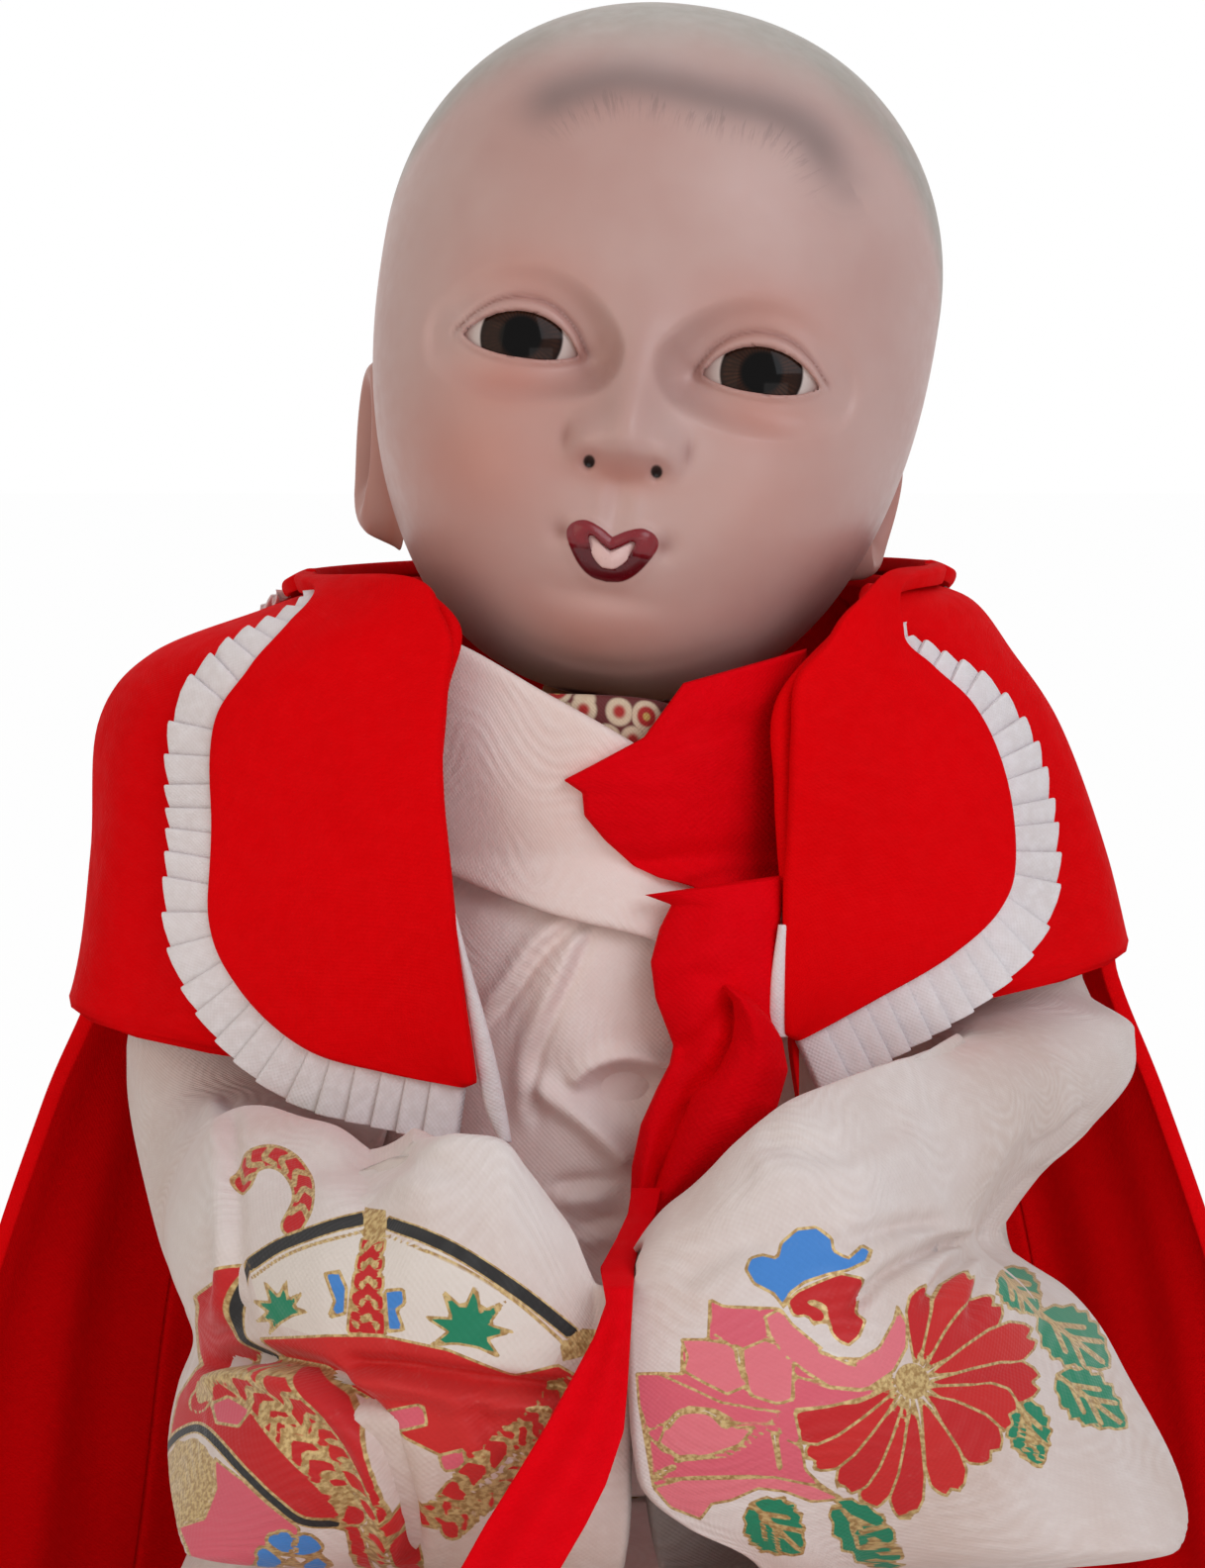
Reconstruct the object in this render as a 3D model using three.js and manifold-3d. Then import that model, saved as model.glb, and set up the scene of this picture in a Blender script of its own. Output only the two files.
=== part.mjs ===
// A seated ichimatsu baby doll: moulded head with inset eyes, padded vest over a kimono, bow at the chest.
// Millimetres, +Z up. The doll faces -Y, its own left is +X, and it sits on the floor plane Z = 0.
import * as THREE from "three";
import { mergeVertices } from "three/addons/utils/BufferGeometryUtils.js";
import Module from "manifold-3d";

const wasm = await Module();
wasm.setup();

// Head, measured from its own middle
const headHalfWidth = 55.6;
const headWidestLevel = 14.8;
const headTop = 69;
const headBottom = 69;
const headFront = 59;
const headBack = 64;
const headSeam = 14; // the face and back halves meet this far behind the middle
const headOverNeck = 71; // neck ball to the middle of the head
const headForward = 4;
const headRoll = 8.8;
const headPitch = 6;
const headYaw = 2.6;

// Face
const eyeSpread = 22.3;
const eyeLevel = -6.5;
const eyeDepth = 39.4; // centre of the glass ball in front of the head's middle
const eyeRadius = 12.6;
const eyeWidth = 22;
const eyeHeight = 8.8;
const noseLevel = -24;
const noseSize = 8.5;
const mouthLevel = -43.5;
const mouthWidth = 11;
const mouthDepth = 7;
const earLength = 32;

// Neck
const neckX = -1;
const neckY = 2;
const neckHeight = 241;
const neckBallRadius = 12;
const neckStemRadius = 6;
const neckStemTop = 40;
const neckFlangeLevel = 15;
const neckCupWall = 5;

// Body
const torsoHalfWidth = 46;
const torsoFront = 45;
const torsoBack = 38;
const torsoBase = 6; // underside of the body above the floor

// Cloth
const clothThickness = 3;
const vestThickness = 4;
const flapThickness = 3;
const frillWidth = 10;
const frillThickness = 2;
const collarThickness = 2.4;
const lapHeight = 94;
const skirtHalfWidth = 92;
const skirtFront = 172;
const skirtBack = 58;

// Limbs
const armRadius = 14;
const wristRadius = 9.5;
const sleeveWall = 7; // sleeve outside the stuffed arm, at the shoulder
const thighRadius = 22;
const ankleRadius = 15;
const legSpread = 36;
const legLift = 8; // degrees the legs lift inside the skirt
const footLength = 48;

// Gaps between pieces that touch
const fitGap = 0.4;
const swingGap = 1.2;

const rad = THREE.MathUtils.degToRad;
const vec = (x, y, z) => new THREE.Vector3(x, y, z);
const mix = THREE.MathUtils.lerp;

// Three.js geometry as a manifold solid, faces turned outwards.
function solidOf(geometry) {
  const source = geometry.index ? geometry.toNonIndexed() : geometry;
  const bare = new THREE.BufferGeometry().setAttribute("position", source.getAttribute("position"));
  const merged = mergeVertices(bare, 1e-4);
  const kept = [];
  const index = merged.index.array;
  for (let i = 0; i < index.length; i += 3) {
    const [a, b, c] = [index[i], index[i + 1], index[i + 2]];
    if (a !== b && b !== c && c !== a) kept.push(a, b, c);
  }
  const mesh = new wasm.Mesh({
    numProp: 3,
    vertProperties: merged.attributes.position.array,
    triVerts: new Uint32Array(kept),
  });
  return new wasm.Manifold(mesh);
}

// A manifold solid back as three.js geometry.
function geometryOf(solid) {
  const mesh = solid.getMesh();
  const positions = new Float32Array(mesh.numVert * 3);
  for (let i = 0; i < mesh.numVert; i++) {
    positions.set(mesh.vertProperties.subarray(i * mesh.numProp, i * mesh.numProp + 3), i * 3);
  }
  return new THREE.BufferGeometry()
    .setAttribute("position", new THREE.BufferAttribute(positions, 3))
    .setIndex(new THREE.BufferAttribute(mesh.triVerts, 1));
}

const cut = (from, ...tools) =>
  geometryOf(tools.reduce((solid, tool) => solid.subtract(solidOf(tool)), solidOf(from)));
const join = (first, ...others) =>
  geometryOf(others.reduce((solid, other) => solid.add(solidOf(other)), solidOf(first)));
const common = (a, b) => geometryOf(solidOf(a).intersect(solidOf(b)));

// Closed geometry from triangles over a list of points, turned inside out if its volume is negative.
function closed(points, faces) {
  let volume = 0;
  for (const [a, b, c] of faces) volume += points[a].dot(points[b].clone().cross(points[c]));
  const index = volume < 0 ? faces.flatMap(([a, b, c]) => [a, c, b]) : faces.flat();
  return new THREE.BufferGeometry().setFromPoints(points).setIndex(index);
}

// Two triangles for the quad a, b, c, d.
const quad = (a, b, c, d) => [[a, b, c], [a, c, d]];

// Closed body through a row of rings, with a flat end on the first and the last.
function loft(rings) {
  const n = rings[0].length;
  const points = rings.flat();
  const faces = [];
  for (let i = 0; i + 1 < rings.length; i++) {
    for (let j = 0; j < n; j++) {
      const k = (j + 1) % n;
      faces.push(...quad(i * n + j, i * n + k, (i + 1) * n + k, (i + 1) * n + j));
    }
  }
  [0, rings.length - 1].forEach((end, side) => {
    const middle = rings[end].reduce((sum, p) => sum.add(p), vec(0, 0, 0)).divideScalar(n);
    const at = points.push(middle) - 1;
    for (let j = 0; j < n; j++) {
      const k = (j + 1) % n;
      const face = [at, end * n + j, end * n + k];
      faces.push(side ? face : [face[0], face[2], face[1]]);
    }
  });
  return closed(points, faces);
}

// Closed slab between two matching grids of points, the rows open or joined into rings.
function slab(outer, inner, ring = false) {
  const rows = outer.length;
  const n = outer[0].length;
  const points = [...outer.flat(), ...inner.flat()];
  const half = rows * n;
  const faces = [];
  const last = ring ? n : n - 1;
  for (let i = 0; i + 1 < rows; i++) {
    for (let j = 0; j < last; j++) {
      const k = (j + 1) % n;
      const [a, b, c, d] = [i * n + j, i * n + k, (i + 1) * n + k, (i + 1) * n + j];
      faces.push(...quad(a, b, c, d), ...quad(half + a, half + d, half + c, half + b));
    }
  }
  for (let j = 0; j < last; j++) {
    const k = (j + 1) % n;
    const end = (rows - 1) * n;
    faces.push(...quad(j, half + j, half + k, k));
    faces.push(...quad(end + k, half + end + k, half + end + j, end + j));
  }
  if (!ring) {
    for (let i = 0; i + 1 < rows; i++) {
      const [a, d] = [i * n, (i + 1) * n];
      faces.push(...quad(d, half + d, half + a, a));
      faces.push(...quad(a + n - 1, half + a + n - 1, half + d + n - 1, d + n - 1));
    }
  }
  return closed(points, faces);
}

// Rows of points made by a rule of two fractions from 0 to 1.
const grid = (rows, columns, rule) =>
  Array.from({ length: rows + 1 }, (_, i) =>
    Array.from({ length: columns + 1 }, (_, j) => rule(i / rows, j / columns)));

// Smooth curve through control points, read by a fraction from 0 to 1.
function through(points) {
  const curve = new THREE.CatmullRomCurve3(points.map(([x, y, z]) => vec(x, y, z || 0)));
  curve.curveType = "catmullrom";
  return (t) => curve.getPoint(Math.min(Math.max(t, 0), 1));
}

// Ring of a limb: an ellipse about a centre in the plane of two directions.
function ellipse(centre, across, up, count) {
  return Array.from({ length: count }, (_, j) => {
    const a = (2 * Math.PI * j) / count;
    return centre.clone().addScaledVector(across, Math.cos(a)).addScaledVector(up, Math.sin(a));
  });
}

// Limb along a path: round rings whose radius follows its own curve; grow widens it for a tunnel.
function limb(path, radii, grow, rings, count) {
  const at = through(path);
  const radius = through(radii.map((r) => [r, 0, 0]));
  return loft(Array.from({ length: rings + 1 }, (_, i) => {
    const t = i / rings;
    const along = at(Math.min(t + 0.01, 1)).sub(at(Math.max(t - 0.01, 0))).normalize();
    const across = vec(0, 0, 1).cross(along);
    if (across.length() < 0.2) across.set(1, 0, 0);
    across.addScaledVector(along, -across.dot(along)).normalize();
    const up = along.clone().cross(across).normalize();
    const r = radius(t).x + grow;
    const end = grow * (t === 0 ? -1 : t === 1 ? 1 : 0);
    return ellipse(at(t).addScaledVector(along, end), across.multiplyScalar(r), up.multiplyScalar(r), count);
  }));
}

// Ellipsoid from a three.js sphere.
function ball(centre, size, across = 20, tall = 12) {
  return new THREE.SphereGeometry(1, across, tall).scale(size.x, size.y, size.z)
    .translate(centre.x, centre.y, centre.z);
}

// Cylinder along Z between two heights.
function post(x, y, low, high, radius, count = 28) {
  return new THREE.CylinderGeometry(radius, radius, high - low, count).rotateX(Math.PI / 2)
    .translate(x, y, (low + high) / 2);
}

// Box given by its opposite corners.
function block(low, high) {
  const size = high.clone().sub(low);
  const middle = low.clone().add(high).multiplyScalar(0.5);
  return new THREE.BoxGeometry(size.x, size.y, size.z).translate(middle.x, middle.y, middle.z);
}

const paint = (colour, roughness) => new THREE.MeshStandardMaterial({ color: colour, roughness });
const skin = () => paint(0xf0d8cc, 0.35);
const red = () => paint(0xc80812, 0.6);
const cream = () => paint(0xe8dcd0, 0.7);
const cotton = () => paint(0xd8cbb8, 0.9);

const doll = new THREE.Group();
doll.name = "ichimatsu_doll";
function piece(name, geometry, material, parent = doll) {
  const mesh = new THREE.Mesh(geometry, material);
  mesh.name = name;
  parent.add(mesh);
  return mesh;
}

// Head

// Superellipse falling from 1 at its middle to 0 at its end.
const dome = (t, power) => Math.pow(Math.max(1 - Math.pow(Math.min(Math.abs(t), 1), power), 0), 1 / power);

// Half width, front and back of the head at a level above its middle.
function headSection(level) {
  const over = level - headWidestLevel;
  const up = headTop - headWidestLevel;
  const down = headBottom + headWidestLevel;
  const t = over > 0 ? over / up : over / down;
  const low = Math.max(0, -(level + headBottom * 0.55) / (headBottom * 0.45));
  return {
    width: headHalfWidth * dome(t, over > 0 ? 2.12 : 2.26),
    front: headFront * dome(t, over > 0 ? 2.2 : 3.58),
    back: headBack * dome(over > 0 ? t : over / (down * 0.9), over > 0 ? 2.2 : 1.8),
    middle: -headFront * 0.37 * low * low,
  };
}

// Ring of the head at a level: two half ovals, wide at the middle line.
function headRing(level, count) {
  const s = headSection(level);
  return Array.from({ length: count }, (_, j) => {
    const a = (2 * Math.PI * j) / count;
    const square = (v) => Math.sign(v) * Math.pow(Math.abs(v), 2 / 2.25);
    const fore = Math.cos(a) > 0;
    const reach = fore ? s.front + s.middle : Math.max(s.back - s.middle, 2);
    return vec(s.width * square(Math.sin(a)), s.middle - reach * square(Math.cos(a)), level);
  });
}

function headSolid() {
  const rings = 18;
  const levels = Array.from({ length: rings + 1 }, (_, i) => {
    const a = Math.PI * (0.035 + (0.93 * i) / rings);
    const c = -Math.cos(a);
    return c > 0 ? c * headTop : c * headBottom;
  });
  return loft(levels.map((level) => headRing(level, 28)));
}

// Almond opening through the face in front of one eye.
function eyeOpening(side) {
  const half = eyeWidth / 2;
  const shape = new THREE.Shape();
  shape.moveTo(-half, -0.4);
  shape.bezierCurveTo(-half * 0.5, eyeHeight * 0.62, half * 0.5, eyeHeight * 0.62, half, -0.2);
  shape.bezierCurveTo(half * 0.5, -eyeHeight * 0.56, -half * 0.5, -eyeHeight * 0.56, -half, -0.4);
  return new THREE.ExtrudeGeometry(shape, { depth: headFront, bevelEnabled: false, curveSegments: 5 })
    .rotateX(Math.PI / 2).translate(side * eyeSpread, -eyeDepth, eyeLevel);
}

// Pocket behind the opening: a ball seat that runs straight back to the seam.
function eyePocket(side) {
  const r = eyeRadius + fitGap;
  const bore = new THREE.CylinderGeometry(r, r, eyeDepth + headSeam + 1, 14)
    .translate(side * eyeSpread, -eyeDepth + (eyeDepth + headSeam + 1) / 2, eyeLevel);
  return join(bore, new THREE.SphereGeometry(r, 14, 10).translate(side * eyeSpread, -eyeDepth, eyeLevel));
}

// Glass eye: a ball in front, flat at the back.
function eyeBall(side) {
  const backOff = eyeRadius * 0.5;
  const profile = [[0, -eyeRadius]];
  for (let i = 1; i <= 6; i++) {
    const a = (Math.PI / 2) * (i / 6);
    profile.push([eyeRadius * Math.sin(a), -eyeRadius * Math.cos(a)]);
  }
  profile.push([eyeRadius, backOff], [0, backOff]);
  return new THREE.LatheGeometry(profile.map(([x, y]) => new THREE.Vector2(x, y)), 16)
    .translate(side * eyeSpread, -eyeDepth, eyeLevel);
}

// Mouth outline with two upper lobes, shrunk by a margin.
function mouthShape(margin) {
  const w = mouthWidth / 2 - margin;
  const shape = new THREE.Shape();
  shape.moveTo(0, 1.2 - margin);
  shape.bezierCurveTo(w * 0.3, 4 - margin, w, 3.6 - margin, w, 1);
  shape.bezierCurveTo(w, -2.5, w * 0.6, -5 + margin, 0, -5 + margin);
  shape.bezierCurveTo(-w * 0.6, -5 + margin, -w, -2.5, -w, 1);
  shape.bezierCurveTo(-w, 3.6 - margin, -w * 0.3, 4 - margin, 0, 1.2 - margin);
  return shape;
}

function mouthBlock(margin, depth, front) {
  return new THREE.ExtrudeGeometry(mouthShape(margin), { depth, bevelEnabled: false, curveSegments: 4 })
    .rotateX(Math.PI / 2).translate(0, front + depth, mouthLevel);
}

const head = new THREE.Group();
head.position.set(neckX, neckY, neckHeight);
head.rotation.set(rad(-headPitch), rad(headRoll), rad(-headYaw), "YXZ");
const skull = new THREE.Group();
skull.position.set(0, -headForward, headOverNeck);
head.add(skull);
doll.add(head);

const mouthFront = -headSection(mouthLevel).front;
{
  const whole = headSolid();
  const reach = headHalfWidth * 2;
  const bore = post(0, headForward, -headOverNeck, neckStemTop + 2 - headOverNeck, neckStemRadius + fitGap);
  const seat = post(0, headForward, -headOverNeck - 20, neckFlangeLevel + fitGap - headOverNeck, 21);
  const face = common(whole, block(vec(-reach, -reach, -reach), vec(reach, headSeam - fitGap / 2, reach)));
  const rear = common(whole, block(vec(-reach, headSeam + fitGap / 2, -reach), vec(reach, reach, reach)));
  const nose = ball(vec(0, -headFront + 5, noseLevel), vec(noseSize, noseSize, noseSize * 1.15), 12, 8);
  const ears = [-1, 1].map((side) => ball(vec(0, 0, 0), vec(5, 8, earLength / 2), 12, 8).rotateZ(side * 0.35)
    .translate(side * (headSection(-26).width - 0.5), headSeam - 10, -26));
  const room = [-1, 1].flatMap((side) => [eyePocket(side), eyeOpening(side)]);
  const mouth = mouthBlock(0, mouthDepth + 8, mouthFront - 8);
  piece("head_face", cut(join(face, nose, ...ears), ...room, mouth, bore, seat), skin(), skull);
  piece("head_back", cut(rear, bore, seat), skin(), skull);
  piece("left_eye", eyeBall(1), paint(0x1c0e08, 0.05), skull);
  piece("right_eye", eyeBall(-1), paint(0x1c0e08, 0.05), skull);
  piece("mouth_plate", mouthBlock(fitGap, mouthDepth - 3.5, mouthFront + 2.5), paint(0xf4dcd8, 0.3), skull);
}

// Neck

// Ball, neck, flange the head stands on, and the stem it turns on.
function plugProfile() {
  const points = [[0, -neckBallRadius]];
  for (let i = 1; i <= 8; i++) {
    const a = Math.PI * 0.78 * (i / 8);
    points.push([neckBallRadius * Math.sin(a), -neckBallRadius * Math.cos(a)]);
  }
  points.push([neckBallRadius * 0.63, neckFlangeLevel - 3], [16, neckFlangeLevel - 3], [16, neckFlangeLevel]);
  points.push([neckStemRadius, neckFlangeLevel], [neckStemRadius, neckStemTop], [0, neckStemTop]);
  return points.map(([x, y]) => new THREE.Vector2(x, y));
}
piece("neck_plug", new THREE.LatheGeometry(plugProfile(), 20).rotateX(Math.PI / 2), paint(0xb98d5a, 0.6), head);

const cupRadius = neckBallRadius + fitGap;
const cupOutside = cupRadius + neckCupWall;
const cupLow = neckHeight - cupRadius - 3;
const cupHigh = neckHeight + 2;
function neckCup() {
  const outside = post(neckX, neckY, cupLow, cupHigh, cupOutside, 20);
  return cut(outside, new THREE.SphereGeometry(cupRadius, 20, 12).rotateX(Math.PI / 2)
    .translate(neckX, neckY, neckHeight));
}
piece("neck_cup", neckCup(), paint(0xa87c4c, 0.7));

// Body

// Height as a fraction of the way from the base to the neck, then width, front and back as shares.
const torsoShape = [
  [0, 0.72, 0.55, 0.75], [0.07, 1.02, 0.84, 1.08], [0.22, 1.08, 0.98, 1.1], [0.4, 1.02, 1.02, 1],
  [0.62, 1, 1, 0.95], [0.81, 1, 0.99, 0.98], [0.91, 0.94, 0.84, 0.93], [0.97, 0.72, 0.62, 0.78],
  [1, 0.53, 0.44, 0.58],
];
const torsoHeight = neckHeight - 3 - torsoBase;
const torsoAt = (i, share) => through(torsoShape.map((row) => [row[0], row[i], 0]))(share).y;

// Point on the body grown outwards, at an angle from the front and a fraction of its height.
function torsoPoint(angle, share, grow) {
  const i = through(torsoShape.map((row) => [row[0], 0, 0]));
  let t = share;
  for (let n = 0; n < 12; n++) t += share - i(t).x;
  const wide = torsoHalfWidth * torsoAt(1, t) + grow;
  const deep = Math.cos(angle) > 0 ? torsoFront * torsoAt(2, t) : torsoBack * torsoAt(3, t);
  return vec(wide * Math.sin(angle), -(deep + grow) * Math.cos(angle), torsoBase + torsoHeight * share);
}

function torsoSolid(grow, from, to, rings = 10, count = 24) {
  return loft(Array.from({ length: rings + 1 }, (_, i) =>
    Array.from({ length: count }, (_, j) =>
      torsoPoint((2 * Math.PI * j) / count, mix(from, to, i / rings), grow))));
}

{
  const whole = torsoSolid(0, 0, 1);
  const seat = post(neckX, neckY, cupLow - fitGap, neckHeight + 9, cupOutside + fitGap, 20);
  const big = vec(200, 200, 400);
  const fore = block(vec(-big.x, -big.y, -1), vec(big.x, -fitGap / 2, big.z));
  const aft = block(vec(-big.x, fitGap / 2, -1), big);
  piece("torso_front", cut(common(whole, fore), seat), paint(0xc9a878, 0.8));
  piece("torso_back", cut(common(whole, aft), seat), paint(0xc9a878, 0.8));
}

// Bodice: cloth round the body from the waist to the neck.
const bodiceGap = 0.9;
const bodiceOut = bodiceGap + clothThickness;
{
  const cloth = (grow) => grid(6, 23, (i, j) => torsoPoint(2 * Math.PI * j * (23 / 24), mix(0.43, 0.985, i), grow));
  piece("kimono_bodice", slab(cloth(bodiceOut), cloth(bodiceGap), true), cream());
}

// Point of a collar: on the body below a height, standing up from it above.
const collarFoot = 0.91; // share of the body's height where the collars leave it
const collarLean = 0.12;
function collarPoint(angle, z, out) {
  const over = Math.max(z - torsoBase - torsoHeight * collarFoot, 0);
  const share = Math.min((z - torsoBase) / torsoHeight, collarFoot);
  return torsoPoint(rad(angle), share, out + over * collarLean).setZ(z);
}

// Collar between a lower and an upper line of angles and heights over the neck ball.
function collar(lower, upper, out, thickness, steps) {
  const low = through(lower);
  const high = through(upper);
  const sheet = (more) => grid(steps, 5, (i, j) => {
    const spot = low(i).lerp(high(i), j);
    return collarPoint(spot.x, neckHeight + spot.y, out + more);
  });
  return slab(sheet(thickness), sheet(0));
}

const overBodice = bodiceOut + fitGap;
const overUnder = overBodice + collarThickness + fitGap + 0.3;
piece("under_collar", collar([[-74, -24], [-46, -25], [-18, -27], [10, -30], [24, -34]],
  [[-74, 2], [-46, 2.5], [-18, 2.5], [10, 0], [24, -8]], overBodice, collarThickness, 12), paint(0xa83a2c, 0.6));
piece("kimono_collar_right", collar([[-74, -22], [-54, -24], [-32, -28], [-10, -34], [8, -38], [24, -44]],
  [[-74, 14], [-54, 17], [-32, 17.5], [-10, 7], [8, -3], [24, -13]], overUnder, collarThickness, 14), cream());
piece("kimono_collar_left", collar([[74, -30], [58, -32], [40, -27]], [[74, 6], [58, 7], [40, 0]],
  overBodice, collarThickness, 8), cream());

// Vest surface

// Outline of the vest from the neck ring to the hem, as distance out and height, over the side, front and back.
const sleeveRadius = armRadius + fitGap + 0.6 + sleeveWall;
const seamX = torsoHalfWidth + bodiceOut + 2.2; // line where the sleeve is sewn to the bodice
const armX = seamX + sleeveRadius + 1;
const vestSide = armX + sleeveRadius + 2 + vestThickness;
const vestFront = torsoFront + bodiceOut + 2 * collarThickness + vestThickness + 1.4;
const vestBack = torsoBack + bodiceOut + vestThickness + 20;
const sideOutline = [
  [vestSide - 40, neckHeight + 30], [vestSide - 27, neckHeight + 25], [vestSide - 11, neckHeight + 15],
  [vestSide - 2, neckHeight - 2], [vestSide, neckHeight - 28], [vestSide, neckHeight - 56],
  [vestSide + 7, neckHeight - 83], [vestSide + 25, neckHeight * 0.46], [vestSide + 44, neckHeight * 0.22],
  [vestSide + 55, 4],
];
const frontOutline = [
  [vestFront - 2.6, neckHeight + 29], [vestFront - 1.1, neckHeight + 20], [vestFront - 0.1, neckHeight + 6],
  [vestFront + 0.4, neckHeight - 12], [vestFront + 0.2, neckHeight - 34], [vestFront, neckHeight - 58],
  [vestFront + 1.5, neckHeight - 81], [vestFront + 4, neckHeight - 106], [vestFront + 12, lapHeight + 10],
  [vestFront + 58, lapHeight + vestThickness + fitGap],
];
const backOutline = [
  [vestBack - 7, neckHeight + 30], [vestBack - 4, neckHeight + 23], [vestBack - 2, neckHeight + 9],
  [vestBack, neckHeight - 11], [vestBack + 2, neckHeight - 34], [vestBack + 3, neckHeight - 57],
  [vestBack + 6, neckHeight - 83], [vestBack + 14, neckHeight * 0.46], [vestBack + 25, neckHeight * 0.22],
  [vestBack + 32, 4],
];
const ringShift = 3.5; // the neck ring sits to the side the head leans over
const outlineEnd = sideOutline.length - 1;
const sideAt = through(sideOutline);
const frontAt = through(frontOutline);
const backAt = through(backOutline);
const lapSideAt = through(sideOutline.map(([r, z], i) =>
  i < 7 ? [r, z] : [vestSide + 9, frontOutline[i][1]]));

// Point of the vest at an angle from the front (degrees) and a step down its outline.
function vestSpot(angle, step) {
  const a = rad(angle);
  const t = step / outlineEnd;
  const fore = Math.cos(a) > 0;
  const side = fore ? lapSideAt(t) : sideAt(t);
  const end = fore ? frontAt(t) : backAt(t);
  const share = Math.pow(Math.abs(Math.cos(a)), 3);
  const shift = ringShift * Math.pow(Math.max(1 - step / 2, 0), 2);
  return vec(shift + side.x * Math.sin(a), -end.x * Math.cos(a), mix(side.y, end.y, share));
}

// Same point moved out along the surface normal.
function vestPoint(angle, step, out) {
  const e = 0.04;
  const along = vestSpot(angle, Math.min(step + e, outlineEnd)).sub(vestSpot(angle, Math.max(step - e, 0)));
  const round = vestSpot(angle + 0.5, step).sub(vestSpot(angle - 0.5, step));
  const normal = round.cross(along).normalize();
  return vestSpot(angle, step).addScaledVector(normal, -out);
}

const capStep = { left: 4.6, right: 5 }; // where each armhole begins
const sideSign = { left: 1, right: -1 };

// Edges of a vest front: the inner one as an angle at each step down the outline, the outer one by the armhole.
const frontEdges = {
  left: [52, 38, 23.5, 20.4, 19.3, 18.8, 18, 13.3, 8.7, 8.7],
  right: [39, 23.5, 18.6, 17.2, 15.7, 13.6, 13.5, 11.1, 8.7, 8.7],
};
const frontEdge = (name, step) => through(frontEdges[name].map((angle) => [angle, 0, 0]))(step / outlineEnd).x;
function armEdge(name, step) {
  const past = step - capStep[name];
  if (past <= 0) return 89.8;
  const narrow = THREE.MathUtils.radToDeg(Math.asin(36.5 / lapSideAt(step / outlineEnd).x));
  return mix(89.8, narrow, Math.min(past / 0.3, 1));
}

function vestFrontPanel(name) {
  const s = sideSign[name];
  const rows = [0, 0.7, 1.4, 2, 2.6, 3.3, 4, capStep[name], capStep[name] + 0.15,
    capStep[name] + 0.3, 6.2, 7.3, 7.9, 8.4, 9];
  const sheet = (out) => rows.map((step) =>
    Array.from({ length: 9 }, (_, j) =>
      vestPoint(s * mix(frontEdge(name, step), armEdge(name, step), j / 8), step, out)));
  return slab(sheet(0), sheet(-vestThickness));
}
piece("vest_front_left", vestFrontPanel("left"), red());
piece("vest_front_right", vestFrontPanel("right"), red());

const backEdge = (step) => mix(90.2, 101, THREE.MathUtils.smoothstep(step, 4.2, 5));
const sideSeam = 134; // angle of the seams between the back and the side panels
const seamHalf = 0.35;

// Panel of the vest behind the arms, between two edges given as angles at a step.
function vestPanel(from, to, columns) {
  const sheet = (out) => grid(12, columns, (i, j) => {
    const step = i * outlineEnd;
    return vestPoint(mix(from(step), to(step), j), step, out);
  });
  return slab(sheet(0), sheet(-vestThickness));
}
piece("vest_back", vestPanel(() => sideSeam + seamHalf, () => 360 - sideSeam - seamHalf, 9), red());
piece("vest_side_left", vestPanel(backEdge, () => sideSeam - seamHalf, 5), red());
piece("vest_side_right", vestPanel(() => 360 - sideSeam + seamHalf, (step) => 360 - backEdge(step), 5), red());

// Collar flaps and frills

// Each flap lies between an inner and an outer line of angles and steps, bottom corner to shoulder.
const flapLines = {
  right: {
    inner: [[12, 5.26], [13.6, 4.6], [14.9, 4], [15.8, 3.38], [16.9, 2.59], [17.8, 1.96], [19.1, 1.36], [23.9, 0.8],
      [34, 0.25], [58, 0.12], [94, 0.12]],
    outer: [[13, 5.3], [21, 5.25], [30.2, 5.06], [39.4, 4.67], [44.4, 4.21], [44.8, 3.41], [46, 2.59], [46.7, 2.02],
      [51, 1.48], [67, 1.03], [94, 0.9]],
  },
  left: {
    inner: [[18.1, 4.89], [18.4, 4.33], [18.6, 3.79], [19.1, 3.4], [19.6, 2.99], [21, 2.43], [23.5, 1.8], [30, 1.38],
      [41, 0.8], [60, 0.15], [94, 0.12]],
    outer: [[19, 4.95], [28.4, 4.67], [38.2, 4.41], [45.1, 4.15], [48, 3.81], [47.2, 3.14], [45.8, 2.38], [44.4, 1.95],
      [49, 1.5], [67, 1.07], [94, 0.9]],
  },
};
const flapLow = fitGap + 0.3;
const flapHigh = flapLow + flapThickness;

function flapSpot(name, t, across) {
  const a = through(flapLines[name].inner)(t);
  const b = through(flapLines[name].outer)(t);
  return [sideSign[name] * mix(a.x, b.x, across), mix(a.y, b.y, across)];
}
function flap(name) {
  const sheet = (out) => grid(16, 4, (i, j) => vestPoint(...flapSpot(name, i, j), out));
  return slab(sheet(flapHigh), sheet(flapLow));
}
piece("vest_collar_right", flap("right"), red());
piece("vest_collar_left", flap("left"), red());

const collarBackDepth = (angle) => 0.9 + 0.9 * Math.pow(Math.sin(rad((angle - 94.6) * 180 / 170.8)), 0.6);
{
  const sheet = (out) => grid(14, 3, (i, j) => {
    const angle = mix(94.6, 265.4, i);
    return vestPoint(angle, mix(0.12, collarBackDepth(angle), j), out);
  });
  piece("vest_collar_back", slab(sheet(flapHigh + 0.4), sheet(flapLow + 0.4)), red());
}

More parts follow.
